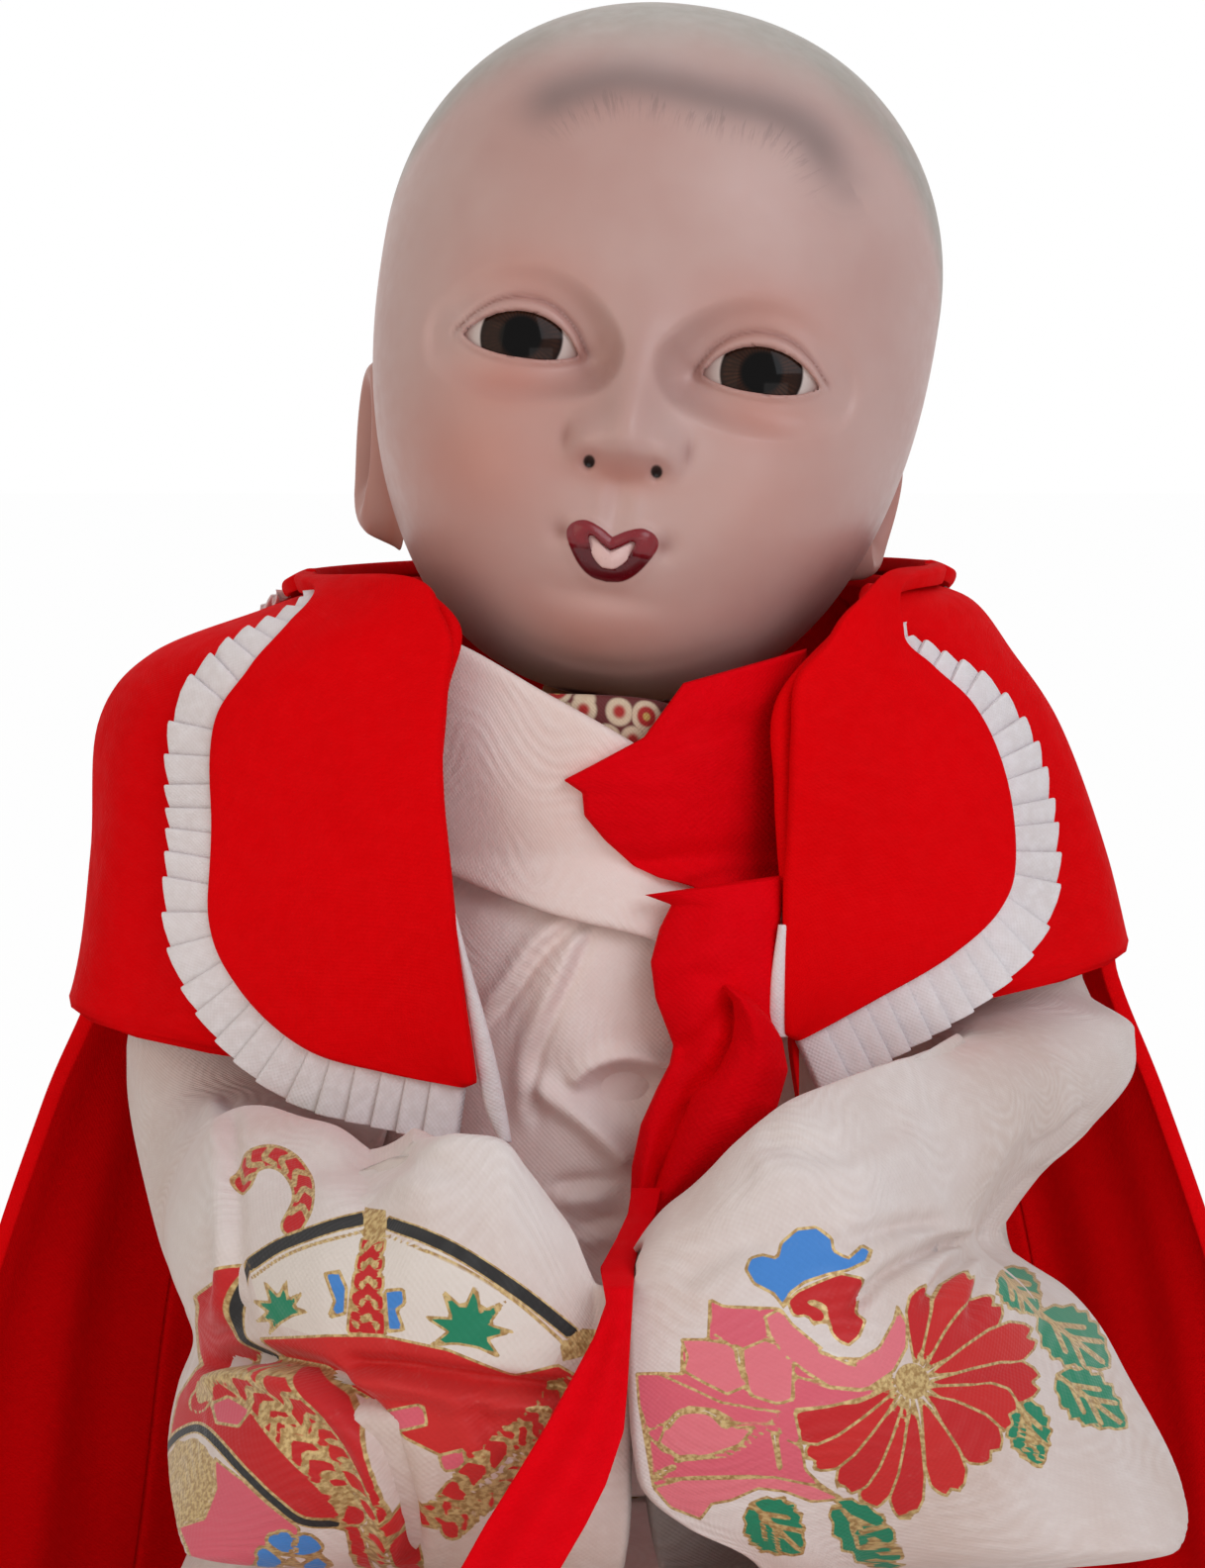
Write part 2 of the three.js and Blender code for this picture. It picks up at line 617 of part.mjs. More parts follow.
// Frill outside an edge of the collar: a strip laid on the vest with knife pleats as waves.
function frill(edge, inside, taper, pleats) {
  const wave = (i) => i % 2;
  const rows = (out) => Array.from({ length: pleats * 2 + 1 }, (_, i) => {
    const t = i / (pleats * 2);
    const [angle, step] = edge(t);
    const here = vestPoint(angle, step, 0);
    const [a1, s1] = edge(Math.min(t + 0.01, 1));
    const [a0, s0] = edge(Math.max(t - 0.01, 0));
    const along = vestPoint(a1, s1, 0).sub(vestPoint(a0, s0, 0)).normalize();
    const normal = vestPoint(angle, step, 1).sub(here).normalize();
    const away = along.clone().cross(normal).normalize();
    const inwards = vestPoint(...inside(t), 0).sub(here);
    if (away.dot(inwards) > 0) away.negate();
    return [0, 1].map((u) => here.clone().addScaledVector(away, fitGap + 0.4 + u * frillWidth * taper(t))
      .addScaledVector(normal, out + 1.2 + u * 1.1 * wave(i)));
  });
  return slab(rows(frillThickness), rows(0));
}
const flapAcross = (name, across) => (t) => flapSpot(name, t, across);
piece("vest_frill_right", frill(flapAcross("right", 1), flapAcross("right", 0.7), () => 1, 17), paint(0xf2ecea, 0.8));
piece("vest_frill_left", frill(flapAcross("left", 1), flapAcross("left", 0.7), (t) => mix(1.15, 0.75, t), 16),
  paint(0xf2ecea, 0.8));
const backAround = (t) => mix(99.5, 260.5, t);
piece("vest_frill_back", frill((t) => [backAround(t), collarBackDepth(backAround(t))],
  (t) => [backAround(t), 0.2], () => 0.8, 18), paint(0xf2ecea, 0.8));

// Sash and bow

const overCollars = overUnder + collarThickness + fitGap;
const bowDepth = torsoFront + overCollars + 9;
piece("chest_sash", collar([[-8.5, -10.5], [0, -19], [17, -28], [37, -28]], [[-9, -9], [6, -1.5], [20, 5.5], [37, 9]],
  overCollars + 0.8, 3.2, 10), red());
const knotAt = vec(21, -bowDepth + 9.2, neckHeight - 33.5);
const loopAt = vec(16.7, -bowDepth + 3.6, neckHeight - 55.2);
piece("bow_knot", ball(vec(0, 0, 0), vec(7.5, 5.5, 6.5), 14, 10).rotateY(0.4)
  .translate(knotAt.x, knotAt.y, knotAt.z), red());
piece("bow_loop", ball(vec(0, 0, 0), vec(10.5, 7.5, 17), 16, 12).rotateY(0.3)
  .translate(loopAt.x, loopAt.y, loopAt.z), red());

// Ribbon along a path in space, its width lying level.
function ribbon(path, widths, thickness, steps) {
  const at = through(path);
  const width = through(widths.map((w) => [w, 0, 0]));
  const rows = (out) => Array.from({ length: steps + 1 }, (_, i) => {
    const t = i / steps;
    const along = at(Math.min(t + 0.02, 1)).sub(at(Math.max(t - 0.02, 0))).normalize();
    const across = vec(0, 0, 1).cross(along).normalize().lerp(vec(1, 0, 0), 0.6).normalize();
    const normal = along.clone().cross(across).normalize();
    return [-1, 0, 1].map((u) => at(t).addScaledVector(across, (u * width(t).x) / 2)
      .addScaledVector(normal, out + 0.8 * (1 - u * u)));
  });
  return slab(rows(thickness), rows(0));
}
piece("sash_tail", ribbon([[10, -bowDepth + 0.8, neckHeight - 72.5], [0, -96, lapHeight + 61], [-1.5, -120, lapHeight + 55],
  [-1.5, -139, lapHeight + 45], [-10, -144, lapHeight + 29], [-20, -148, lapHeight + 10], [-25, -154, lapHeight + 0.4],
  [-27, -162, lapHeight - 5]], [7, 8, 8.5, 10, 13, 15, 16, 16], 2.2, 18), red());

// Arms and sleeves

// Path of an arm on one side, from the shoulder through the elbow to the wrist.
const elbow = { left: [71, -30, lapHeight + 56], right: [70, -27, lapHeight + 50] };
const elbowGap = 4;
const tieWire = 0.9;
const armPath = (name) => {
  const s = sideSign[name];
  const [x, y, z] = elbow[name];
  return [[s * armX, 3, neckHeight - 14], [s * armX, 2, neckHeight - 45], [s * (armX + 0.5), -6, z + 20], [s * x, y, z]];
};
const forearmPath = (name) => {
  const s = sideSign[name];
  const [x, y, z] = elbow[name];
  return [[s * (x - 1.5), y - elbowGap - 2, z - 3], [s * (x - 14), y - 42, z - 10], [s * (x - 33), y - 70, lapHeight + 37],
    [s * (x - 42), y - 79, lapHeight + 36]];
};
const armRadii = [armRadius, armRadius, armRadius - 1, armRadius - 5];
const forearmRadii = [armRadius - 5, armRadius - 1.5, wristRadius, wristRadius - 0.5];

// Cord tied round a limb close to its end.
function limbTie(path, radii, share) {
  const at = through(path);
  const r = through(radii.map((v) => [v, 0, 0]))(share).x;
  const along = at(share + 0.02).sub(at(share - 0.02)).normalize();
  const spot = at(share);
  return new THREE.TorusGeometry(r + tieWire + fitGap + 0.5, tieWire, 5, 14).lookAt(along)
    .translate(spot.x, spot.y, spot.z);
}

// Sleeve rings: centre, half across, half up, and lean of the ring towards the middle at its top.
const sleeveRings = {
  left: [[armX, 3, neckHeight - 12, 21, 21, 0], [armX, 2, neckHeight - 34, 21.5, 22, 0],
    [armX, 0, neckHeight - 55, 22, 22, 0], [armX - 1, -20, lapHeight + 70, 24.5, 24, 0],
    [armX - 10, -52, lapHeight + 53, 21, 35, 0], [armX - 20, -86, lapHeight + 46, 25, 37, 0],
    [34, -110, lapHeight + 43, 25, 36, 0], [9, -115, lapHeight + 39, 22, 32, -0.08]],
  right: [[armX, 3, neckHeight - 12, 21, 21, 0], [armX, 3, neckHeight - 34, 21.5, 22, 0],
    [armX - 1, 1, neckHeight - 56, 21.5, 22, 0], [armX - 4, -16, lapHeight + 61, 22, 22, 0],
    [armX - 10, -46, lapHeight + 45, 23.5, 29, 0], [armX - 18, -78, lapHeight + 43, 26, 33, 0],
    [35, -104, lapHeight + 42, 25, 34.5, 0], [6, -109, lapHeight + 40, 21.5, 33.5, -0.28]],
};
const sleevePouch = { left: 17, right: 4 }; // how far the hanging part spreads outwards on the lap

// Half width, half height and folds of a sleeve shell, spread smoothly over its rings.
function sleeveSolid(name) {
  const s = sideSign[name];
  const rows = sleeveRings[name];
  const centre = through(rows.map((r) => [s * r[0], r[1], r[2]]));
  const half = through(rows.map((r) => [r[3], r[4], r[5]]));
  const steps = 14;
  const count = 16;
  return loft(Array.from({ length: steps + 1 }, (_, i) => {
    const t = i / steps;
    const size = half(t);
    const along = centre(Math.min(t + 0.02, 1)).sub(centre(Math.max(t - 0.02, 0))).normalize();
    const level = vec(0, 0, 1).cross(along);
    const across = level.lerp(vec(1, 0, 0), Math.max(0, 1 - t * 4)).normalize();
    across.addScaledVector(along, -across.dot(along)).normalize();
    const up = along.clone().cross(across).normalize();
    if (up.z < 0 && t > 0.5) up.negate();
    up.x -= s * size.z;
    const puff = 0.6 * Math.sin(Math.PI * Math.min(Math.max((t - 0.3) / 0.6, 0), 1));
    const hang = Math.sin(Math.PI * Math.min(Math.max((t - 0.42) / 0.48, 0), 1));
    return Array.from({ length: count }, (_, j) => {
      const a = (2 * Math.PI * j) / count;
      const fold = 1 + 0.035 * puff * Math.sin(5 * a + 9 * t);
      const spread = Math.max(-s * across.x * Math.cos(a) * Math.sin(a), 0) * 2 * hang * sleevePouch[name];
      return centre(t).addScaledVector(across, size.x * fold * Math.cos(a)).add(vec(s * spread, 0, 0))
        .addScaledVector(up, size.y * Math.sin(a) * (Math.sin(a) < 0 ? 1 : fold));
    });
  }));
}

// Hollow at the mouth of a sleeve.
function cuffHollow(name) {
  const s = sideSign[name];
  const [end, inside] = [sleeveRings[name][7], sleeveRings[name][6]];
  const lean = end[5];
  const rows = [[-6, 1], [3, 1], [16, 0.86], [24, 0.6]];
  return loft(rows.map(([depth, share]) => {
    const t = Math.max(depth, 0) / Math.abs(inside[0] - end[0]);
    const centre = vec(s * (end[0] + depth), mix(end[1], inside[1], t), end[2]);
    const up = vec(-s * lean, 0, 1).multiplyScalar((end[4] - sleeveWall * 0.7) * share);
    return ellipse(centre, vec(0, (end[3] - sleeveWall * 0.7) * share, 0), up, 14);
  }));
}

for (const name of ["left", "right"]) {
  const s = sideSign[name];
  const [wx, wy, wz] = forearmPath(name)[3];
  const room = fitGap + 0.6;
  const hand = (grow) => ball(vec(wx - s * 8, wy - 3, wz), vec(11 + grow, 8 + grow, 9 + grow), 12, 8);
  const shoulder = armPath(name);
  shoulder[0] = [shoulder[0][0], shoulder[0][1], shoulder[0][2] + 12];
  const tunnel = [limb(shoulder, armRadii.map(() => armRadius), room, 5, 12), hand(room + 1),
    limb(forearmPath(name), [armRadius - 1, armRadius, wristRadius + 2, wristRadius + 2], room, 5, 12)];
  piece(name + "_upper_arm", limb(armPath(name), armRadii, 0, 6, 12), cotton());
  piece(name + "_forearm", join(limb(forearmPath(name), forearmRadii, 0, 6, 12), hand(0)), skin());
  piece(name + "_elbow_tie", limbTie(armPath(name), armRadii, 0.9), paint(0x8a7a66, 0.9));
  piece(name + "_sleeve", cut(sleeveSolid(name), ...tunnel, cuffHollow(name)), cream());
}

// Waist tie round the bodice
{
  const tieBand = (grow) => grid(2, 23, (i, j) => torsoPoint(2 * Math.PI * j * (23 / 24), mix(0.437, 0.5, i), grow));
  piece("waist_tie", slab(tieBand(overBodice + 2.8), tieBand(overBodice + 0.4), true), red());
}

// Legs and skirt

const hipY = -(torsoFront - 1);
const hipZ = 36;
const kneeY = -skirtFront * 0.605;
const kneeZ = 50;
const ankleZ = 24;
const kneeGap = 6;
const thighPath = (s) => {
  const y = (share) => mix(hipY - 8, kneeY, share);
  const z = (share) => mix(hipZ, kneeZ, share);
  return [[s * (legSpread - 8), y(0), z(0)], [s * (legSpread - 6), y(0.35), z(0.5)],
    [s * (legSpread - 4), y(0.69), z(0.86)], [s * (legSpread - 2), y(1), z(1)]];
};
const shinPath = (s) => {
  const y = (share) => mix(kneeY - kneeGap, -skirtFront - 4, share);
  const z = (share) => mix(kneeZ - 0.5, ankleZ, share);
  return [[s * (legSpread - 2), y(0), z(0)], [s * (legSpread - 1), y(0.27), z(0.22)],
    [s * legSpread, y(0.6), z(0.57)], [s * (legSpread + 1), y(1), z(1)]];
};
const thighRadii = [thighRadius - 5, thighRadius, thighRadius - 1.5, thighRadius - 9];
const shinRadii = [thighRadius - 9, ankleRadius + 4, ankleRadius + 2, ankleRadius - 2];

// Spot lifted about the hip line.
function lifted(p) {
  const a = rad(-legLift);
  const y = p.y - hipY;
  const z = p.z - hipZ;
  return vec(p.x, hipY + y * Math.cos(a) - z * Math.sin(a), hipZ + y * Math.sin(a) + z * Math.cos(a));
}

// Tunnel a leg moves in: the lower half of each ring follows the leg at rest, the upper half the leg lifted.
function legTunnel(s) {
  const path = through([...thighPath(s), ...shinPath(s).slice(1)]);
  const radius = through([thighRadius, thighRadius + 0.6, thighRadius, thighRadius - 1, ankleRadius + 5, ankleRadius + 3,
    ankleRadius + 1].map((r) => [r, 0, 0]));
  const count = 14;
  return loft(Array.from({ length: 11 }, (_, i) => {
    const t = i / 10;
    const rest = path(t);
    if (i === 10) rest.y -= 6;
    if (i === 0) rest.y += 14;
    const r = radius(t).x + swingGap;
    const high = lifted(rest);
    return Array.from({ length: count }, (_, j) => {
      const a = (2 * Math.PI * (j + 0.5)) / count;
      const over = Math.sin(a) > 0;
      const z = (over ? high.z : rest.z) + r * (over ? 1.09 : 1.04) * Math.sin(a);
      return vec(rest.x + r * 1.03 * Math.cos(a), rest.y, z);
    });
  }));
}

// Cross-section of the skirt: flat below, rounded above.
function skirtRing(y, width, height) {
  const count = 16;
  const under = Array.from({ length: 6 }, (_, j) => vec(mix(width, -width, (j + 1) / 7), y, 0));
  const over = Array.from({ length: count }, (_, j) => {
    const a = Math.PI * (1 - j / (count - 1));
    const c = Math.cos(a);
    return vec(Math.sign(c) * width * Math.pow(Math.abs(c), 0.75), y, height * Math.pow(Math.sin(a), 0.55));
  });
  return [...over, ...under];
}

{
  const rings = [[skirtBack, 0.72, 60], [skirtBack - 8, 0.9, 84], [skirtBack - 26, 1, 98], [8, 1.02, 102],
    [-34, 1.02, 101], [-50, 1.01, lapHeight], [-84, 0.98, lapHeight], [-118, 0.95, lapHeight],
    [-skirtFront + 20, 0.92, lapHeight - 6], [-skirtFront, 0.88, lapHeight - 20]];
  const whole = loft(rings.map(([y, w, h]) => skirtRing(y, skirtHalfWidth * w, h)));
  const seat = torsoSolid(bodiceOut + 0.9, -fitGap / torsoHeight, 0.5, 7, 24);
  piece("kimono_skirt", cut(whole, seat, legTunnel(1), legTunnel(-1)), cream());
  for (const name of ["left", "right"]) {
    const s = sideSign[name];
    piece(name + "_thigh", limb(thighPath(s), thighRadii, 0, 6, 12), cotton());
    const foot = ball(vec(s * (legSpread + 2), -skirtFront - 18, footLength / 2 + 5), vec(15, 11.5, footLength / 2), 12, 8);
    piece(name + "_lower_leg", join(limb(shinPath(s), shinRadii, 0, 6, 12), foot), skin());
    piece(name + "_knee_tie", limbTie(thighPath(s), thighRadii, 0.9), paint(0x8a7a66, 0.9));
  }
}

export default doll;
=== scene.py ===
import bpy
import bmesh
import numpy as np
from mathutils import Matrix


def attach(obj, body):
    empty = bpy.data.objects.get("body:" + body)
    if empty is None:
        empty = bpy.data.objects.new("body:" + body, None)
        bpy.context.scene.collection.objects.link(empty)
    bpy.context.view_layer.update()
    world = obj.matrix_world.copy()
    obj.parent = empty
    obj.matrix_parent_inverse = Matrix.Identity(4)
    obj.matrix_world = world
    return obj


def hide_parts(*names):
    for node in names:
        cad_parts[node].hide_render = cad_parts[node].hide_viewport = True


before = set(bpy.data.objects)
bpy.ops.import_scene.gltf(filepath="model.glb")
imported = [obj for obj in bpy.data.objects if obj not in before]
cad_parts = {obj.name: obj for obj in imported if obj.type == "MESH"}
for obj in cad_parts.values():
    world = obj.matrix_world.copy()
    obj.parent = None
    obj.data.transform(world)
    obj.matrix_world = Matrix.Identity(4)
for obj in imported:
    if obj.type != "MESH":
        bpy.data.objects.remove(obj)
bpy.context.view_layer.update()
mm = 0.001
cutUnit, leastCut = 100.0, 0.0105  # unit of the map of the cut cloth, and least side of a sheet
fullTurn = 6.2832
print("frame loaded:", len(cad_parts), "nodes")

# Camera: the photograph's lens and place, in millimetres and pixels
cameraSet = {"target": (0, -45, 231), "distance": 600, "elevation": 6, "focal": 3235, "frame": (1217, 1584)}
tilt = np.radians(cameraSet["elevation"])
lens = bpy.data.cameras.new("photo_camera")
lens.sensor_width = 36
lens.lens = 36 * cameraSet["focal"] / cameraSet["frame"][1]
lens.clip_start = 0.01
eye = bpy.data.objects.new("photo_camera", lens)
reach = cameraSet["distance"] * np.array([0, -np.cos(tilt), np.sin(tilt)])
eye.location = (np.array(cameraSet["target"]) + reach) * mm
eye.rotation_euler = (np.pi / 2 - tilt, 0, 0)
bpy.context.collection.objects.link(eye)
bpy.context.scene.camera = eye
bpy.context.scene.view_settings.view_transform = "Standard"


# Pixel of the photograph under each point: the pinhole formula of the camera above
def pixelOf(points):
    p = points - np.array(cameraSet["target"])
    up = p[..., 2] * np.cos(tilt) + p[..., 1] * np.sin(tilt)
    depth = cameraSet["distance"] + p[..., 1] * np.cos(tilt) - p[..., 2] * np.sin(tilt)
    scale = cameraSet["focal"] / depth
    return cameraSet["frame"][0] / 2 + scale * p[..., 0], cameraSet["frame"][1] / 2 - scale * up


# Number helpers, all on whole arrays
def mix(a, b, t):
    return a + (b - a) * t


def ramp(x, low, high):  # smooth step from 0 at low to 1 at high
    t = np.clip((x - low) / (high - low), 0, 1)
    return t * t * (3 - 2 * t)


def bell(x, middle, width):  # Gaussian hump
    return np.exp(-((x - middle) / width) ** 2)


def unit(v):
    return v / np.maximum(np.linalg.norm(v, axis=-1, keepdims=True), 1e-9)


# Catmull-Rom curve through rows of numbers, read at fractions of its length in rows
def through(rows, t):
    p = np.asarray(rows, float)
    p = p[:, None] if p.ndim == 1 else p
    n = len(p) - 1
    p = np.vstack([2 * p[0] - p[1], p, 2 * p[-1] - p[-2]])
    s = np.clip(np.asarray(t, float), 0, 1) * n
    i = np.minimum(s.astype(int), n - 1)
    w = (s - i)[..., None]
    a, b, c, d = p[i], p[i + 1], p[i + 2], p[i + 3]
    return 0.5 * (2 * b + (c - a) * w + (2 * a - 5 * b + 4 * c - d) * w ** 2 + (3 * b - a - 3 * c + d) * w ** 3)


# Signed distance from points of a plane to a closed outline, negative inside
def outlineDistance(px, py, outline):
    best = np.full(px.shape, 1e9)
    inside = np.zeros(px.shape, bool)
    for (ax, ay), (bx, by) in zip(outline, np.roll(outline, -1, axis=0)):
        dx, dy = bx - ax, by - ay
        t = np.clip(((px - ax) * dx + (py - ay) * dy) / max(dx * dx + dy * dy, 1e-12), 0, 1)
        best = np.minimum(best, np.hypot(px - ax - t * dx, py - ay - t * dy))
        crosses = (ay > py) != (by > py)
        inside ^= crosses & (px < ax + (py - ay) * dx / (dy if abs(dy) > 1e-12 else 1e-12))
    return np.where(inside, -best, best)


# Distance from points of a plane to an open line, the length along it to the nearest spot, and the side of it
def lineDistance(px, py, line):
    line = np.asarray(line, float)
    lengths = np.hypot(*np.diff(line, axis=0).T)
    start = np.concatenate([[0], np.cumsum(lengths)])
    best = np.full(px.shape, 1e9)
    where = np.zeros(px.shape)
    side = np.zeros(px.shape)
    for k in range(len(lengths)):
        (ax, ay), (bx, by) = line[k], line[k + 1]
        dx, dy = bx - ax, by - ay
        t = np.clip(((px - ax) * dx + (py - ay) * dy) / (dx * dx + dy * dy), 0, 1)
        ox, oy = px - ax - t * dx, py - ay - t * dy
        d = np.hypot(ox, oy)
        nearer = d < best
        best = np.where(nearer, d, best)
        where = np.where(nearer, start[k] + t * lengths[k], where)
        side = np.where(nearer, np.sign(dx * oy - dy * ox), side)
    return best, where, side


# Mesh from rings of points in millimetres, doubled points joined, its faces turned out by the sign
# of its volume unless told which way
def surface(name, points, material, marks=None, uv=None, turn=None):
    rows, columns = points.shape[:2]
    i, j = np.meshgrid(np.arange(rows - 1), np.arange(columns), indexing="ij")
    k = (j + 1) % columns
    quads = np.stack([i * columns + j, i * columns + k, (i + 1) * columns + k, (i + 1) * columns + j], -1)
    corner = np.stack([np.stack([i, j], -1), np.stack([i, j + 1], -1),
                       np.stack([i + 1, j + 1], -1), np.stack([i + 1, j], -1)], 2)
    if turn:
        quads, corner = quads[..., ::-1], corner[:, :, ::-1]
    mesh = bpy.data.meshes.new(name)
    mesh.from_pydata(points.reshape(-1, 3) * mm, [], quads.reshape(-1, 4))
    if uv is None:
        uv = gridLengths(points, True)
    layer = mesh.uv_layers.new(name="cut")
    layer.data.foreach_set("uv", uv[corner[..., 0], corner[..., 1]].astype(np.float32).ravel())
    for key, values in (marks or {}).items():
        values = np.asarray(values, np.float32)
        if values.ndim == 2:
            mesh.attributes.new(key, "FLOAT", "POINT").data.foreach_set("value", values.ravel())
        else:
            mesh.attributes.new(key, "FLOAT_VECTOR", "POINT").data.foreach_set("vector", values.ravel())
    work = bmesh.new()
    work.from_mesh(mesh)
    bmesh.ops.remove_doubles(work, verts=work.verts, dist=1e-6)
    bmesh.ops.dissolve_degenerate(work, edges=work.edges, dist=1e-7)
    if turn is None and work.calc_volume(signed=True) < 0:
        bmesh.ops.reverse_faces(work, faces=work.faces)
    work.to_mesh(mesh)
    work.free()
    mesh.polygons.foreach_set("use_smooth", np.ones(len(mesh.polygons), bool))
    mesh.update()
    obj = bpy.data.objects.new(name, mesh)
    bpy.context.collection.objects.link(obj)
    obj.data.materials.append(material)
    return obj


# Lengths along and across a grid, in units of 100 mm, as its map of the cut cloth
def gridLengths(points, ring=False):
    p = np.concatenate([points, points[:, :1]], 1) if ring else points
    across = np.linalg.norm(np.diff(p, axis=1), axis=-1).mean(0)
    along = np.linalg.norm(np.diff(p, axis=0), axis=-1).mean(1)
    u = np.concatenate([[0], np.cumsum(across)]) / cutUnit
    v = np.concatenate([[0], np.cumsum(along)]) / cutUnit
    return np.stack(np.broadcast_arrays(u[None, :], v[:, None]), -1)


# Normals of rings of points, by differences of neighbouring points
def gridNormals(points):
    p = np.concatenate([points[:, -1:], points, points[:, :1]], 1)
    return unit(np.cross(np.gradient(p, axis=0), np.gradient(p, axis=1))[:, 1:-1])


def outward(points):  # the same, turned away from the middles of the rings
    n = gridNormals(points)
    return n * np.sign(np.sum(n * (points - points.mean(1, keepdims=True))))


def raised(points, high):  # rings moved out along their normals
    return points + outward(points) * high[..., None]


# Closed cloth: a front sheet and a back sheet some thickness behind it, meeting at every border
def quilt(name, front, behind, material):
    lengths = gridLengths(front)
    uv = np.concatenate([lengths, lengths[:, ::-1], lengths[:, :1]], 1)
    return surface(name, np.concatenate([front, behind[:, ::-1]], 1), material, uv=uv)


# Rounded rise from 0 at both ends of a fraction to 1 inside, over the given share
def hemmed(u, share):
    d = np.clip(np.minimum(u, 1 - u) / share, 0, 1)
    return np.sqrt(np.clip(1 - (1 - d) ** 2, 0, 1))


def uniform(count):
    return np.linspace(0, 1, count)


def gridOf(rows, columns):
    return np.meshgrid(uniform(rows), uniform(columns), indexing="ij")


# Finishes

def colour(r, g, b):  # from the 0-255 values of a picture to linear light
    c = np.array([r, g, b]) / 255
    return (*np.where(c <= 0.04045, c / 12.92, ((c + 0.055) / 1.055) ** 2.4), 1.0)


def feed(tree, socket, value):  # a socket takes a link or a plain value
    if hasattr(value, "is_output"):
        tree.links.new(value, socket)
    else:
        socket.default_value = value


def wire(tree, made, **values):  # the same by the sockets' names, a space written as an underscore
    for key, value in values.items():
        feed(tree, made.inputs[key.replace("_", " ")], value)


def newMaterial(name, **values):
    material = bpy.data.materials.new(name)
    material.use_nodes = True
    shader = material.node_tree.nodes["Principled BSDF"]
    wire(material.node_tree, shader, **values)
    return material, material.node_tree, shader


def node(tree, kind, **settings):
    made = tree.nodes.new(kind)
    for key, value in settings.items():
        setattr(made, key, value)
    return made


def math(tree, operation, *values, clamp=False):
    made = node(tree, "ShaderNodeMath", operation=operation, use_clamp=clamp)
    for socket, value in zip(made.inputs, values):
        feed(tree, socket, value)
    return made.outputs[0]


def blend(tree, factor, a, b):
    made = node(tree, "ShaderNodeMix", data_type="RGBA")
    wire(tree, made, Factor=factor, A=a, B=b)
    return made.outputs["Result"]


def span(tree, value, low, high, outLow=0.0, outHigh=1.0):  # smooth range mapping
    made = node(tree, "ShaderNodeMapRange", interpolation_type="SMOOTHSTEP")
    wire(tree, made, Value=value, From_Min=low, From_Max=high, To_Min=outLow, To_Max=outHigh)
    return made.outputs["Result"]


def mark(tree, name, output="Fac"):
    return node(tree, "ShaderNodeAttribute", attribute_name=name).outputs[output]


def noise(tree, vector, scale, detail=2.0, rough=0.5):
    made = node(tree, "ShaderNodeTexNoise")
    wire(tree, made, Vector=vector, Scale=scale, Detail=detail, Roughness=rough)
    return made.outputs["Fac"]


def bump(tree, shader, height, strength, distance):
    made = node(tree, "ShaderNodeBump")
    wire(tree, made, Strength=strength, Distance=distance, Height=height)
    wire(tree, shader, Normal=made.outputs["Normal"])


def scaledBy(tree, vector, factor):
    made = node(tree, "ShaderNodeVectorMath", operation="SCALE")
    tree.links.new(vector, made.inputs[0])
    wire(tree, made, Scale=factor)
    return made.outputs[0]


def newGroup(name, vector, dial, value, *outputs):  # one vector and one number in, numbers out
    group = bpy.data.node_groups.new(name, "ShaderNodeTree")
    group.interface.new_socket(vector, in_out="INPUT", socket_type="NodeSocketVector")
    group.interface.new_socket(dial, in_out="INPUT", socket_type="NodeSocketFloat").default_value = value
    for key in outputs:
        group.interface.new_socket(key, in_out="OUTPUT", socket_type="NodeSocketFloat")
    return group, group.nodes.new("NodeGroupInput").outputs, group.nodes.new("NodeGroupOutput")


# Plain weave with slubs: two crossed thread waves, roughened by noise
def threadGroup():
    group, into, out = newGroup("silk_threads", "Cut", "Threads", 90.0, "Height", "Shade")
    scaled = scaledBy(group, into["Cut"], into["Threads"])
    parts = node(group, "ShaderNodeSeparateXYZ")
    group.links.new(scaled, parts.inputs[0])
    slub = noise(group, scaled, 0.35, 3.0, 0.6)
    waves = [math(group, "SINE", math(group, "MULTIPLY", parts.outputs[k], fullTurn)) for k in "XY"]
    crossed = math(group, "MULTIPLY", *waves)
    wire(group, out, Height=math(group, "MULTIPLY_ADD", crossed, 0.25, math(group, "MULTIPLY", slub, 1.2)),
         Shade=math(group, "MULTIPLY_ADD", crossed, 0.06, slub))
    return group


# Figured silk: broad wavy ridges that run along the cloth and break up in patches
def figureGroup():
    group, into, out = newGroup("figured_waves", "Cut", "Pitch", 28.0, "Ridge")
    parts = node(group, "ShaderNodeSeparateXYZ")
    group.links.new(into["Cut"], parts.inputs[0])
    sway = math(group, "SINE", math(group, "MULTIPLY", parts.outputs["Y"], 24.0))
    drift = noise(group, into["Cut"], 3.0, 2.0)
    shifted = math(group, "ADD", parts.outputs["X"], math(group, "MULTIPLY", sway, 0.035))
    shifted = math(group, "MULTIPLY_ADD", drift, 0.3, shifted)
    phase = math(group, "MULTIPLY", math(group, "MULTIPLY", shifted, into["Pitch"]), fullTurn)
    ridge = math(group, "MULTIPLY_ADD", math(group, "SINE", phase), 0.5, 0.5)
    patch = span(group, noise(group, into["Cut"], 5.0, 1.0), 0.38, 0.62)
    wire(group, out, Ridge=math(group, "MULTIPLY", ridge, patch))
    return group


# Age and handling: two scales of soft mottling
def agedGroup():
    group, into, out = newGroup("aged_mottle", "Place", "Scale", 30.0, "Broad", "Fine")
    scaled = scaledBy(group, into["Place"], into["Scale"])
    wire(group, out, Broad=noise(group, scaled, 1.0, 3.0), Fine=noise(group, scaled, 9.0, 4.0, 0.6))
    return group


silkThreads = threadGroup()
figuredWaves = figureGroup()
agedMottle = agedGroup()


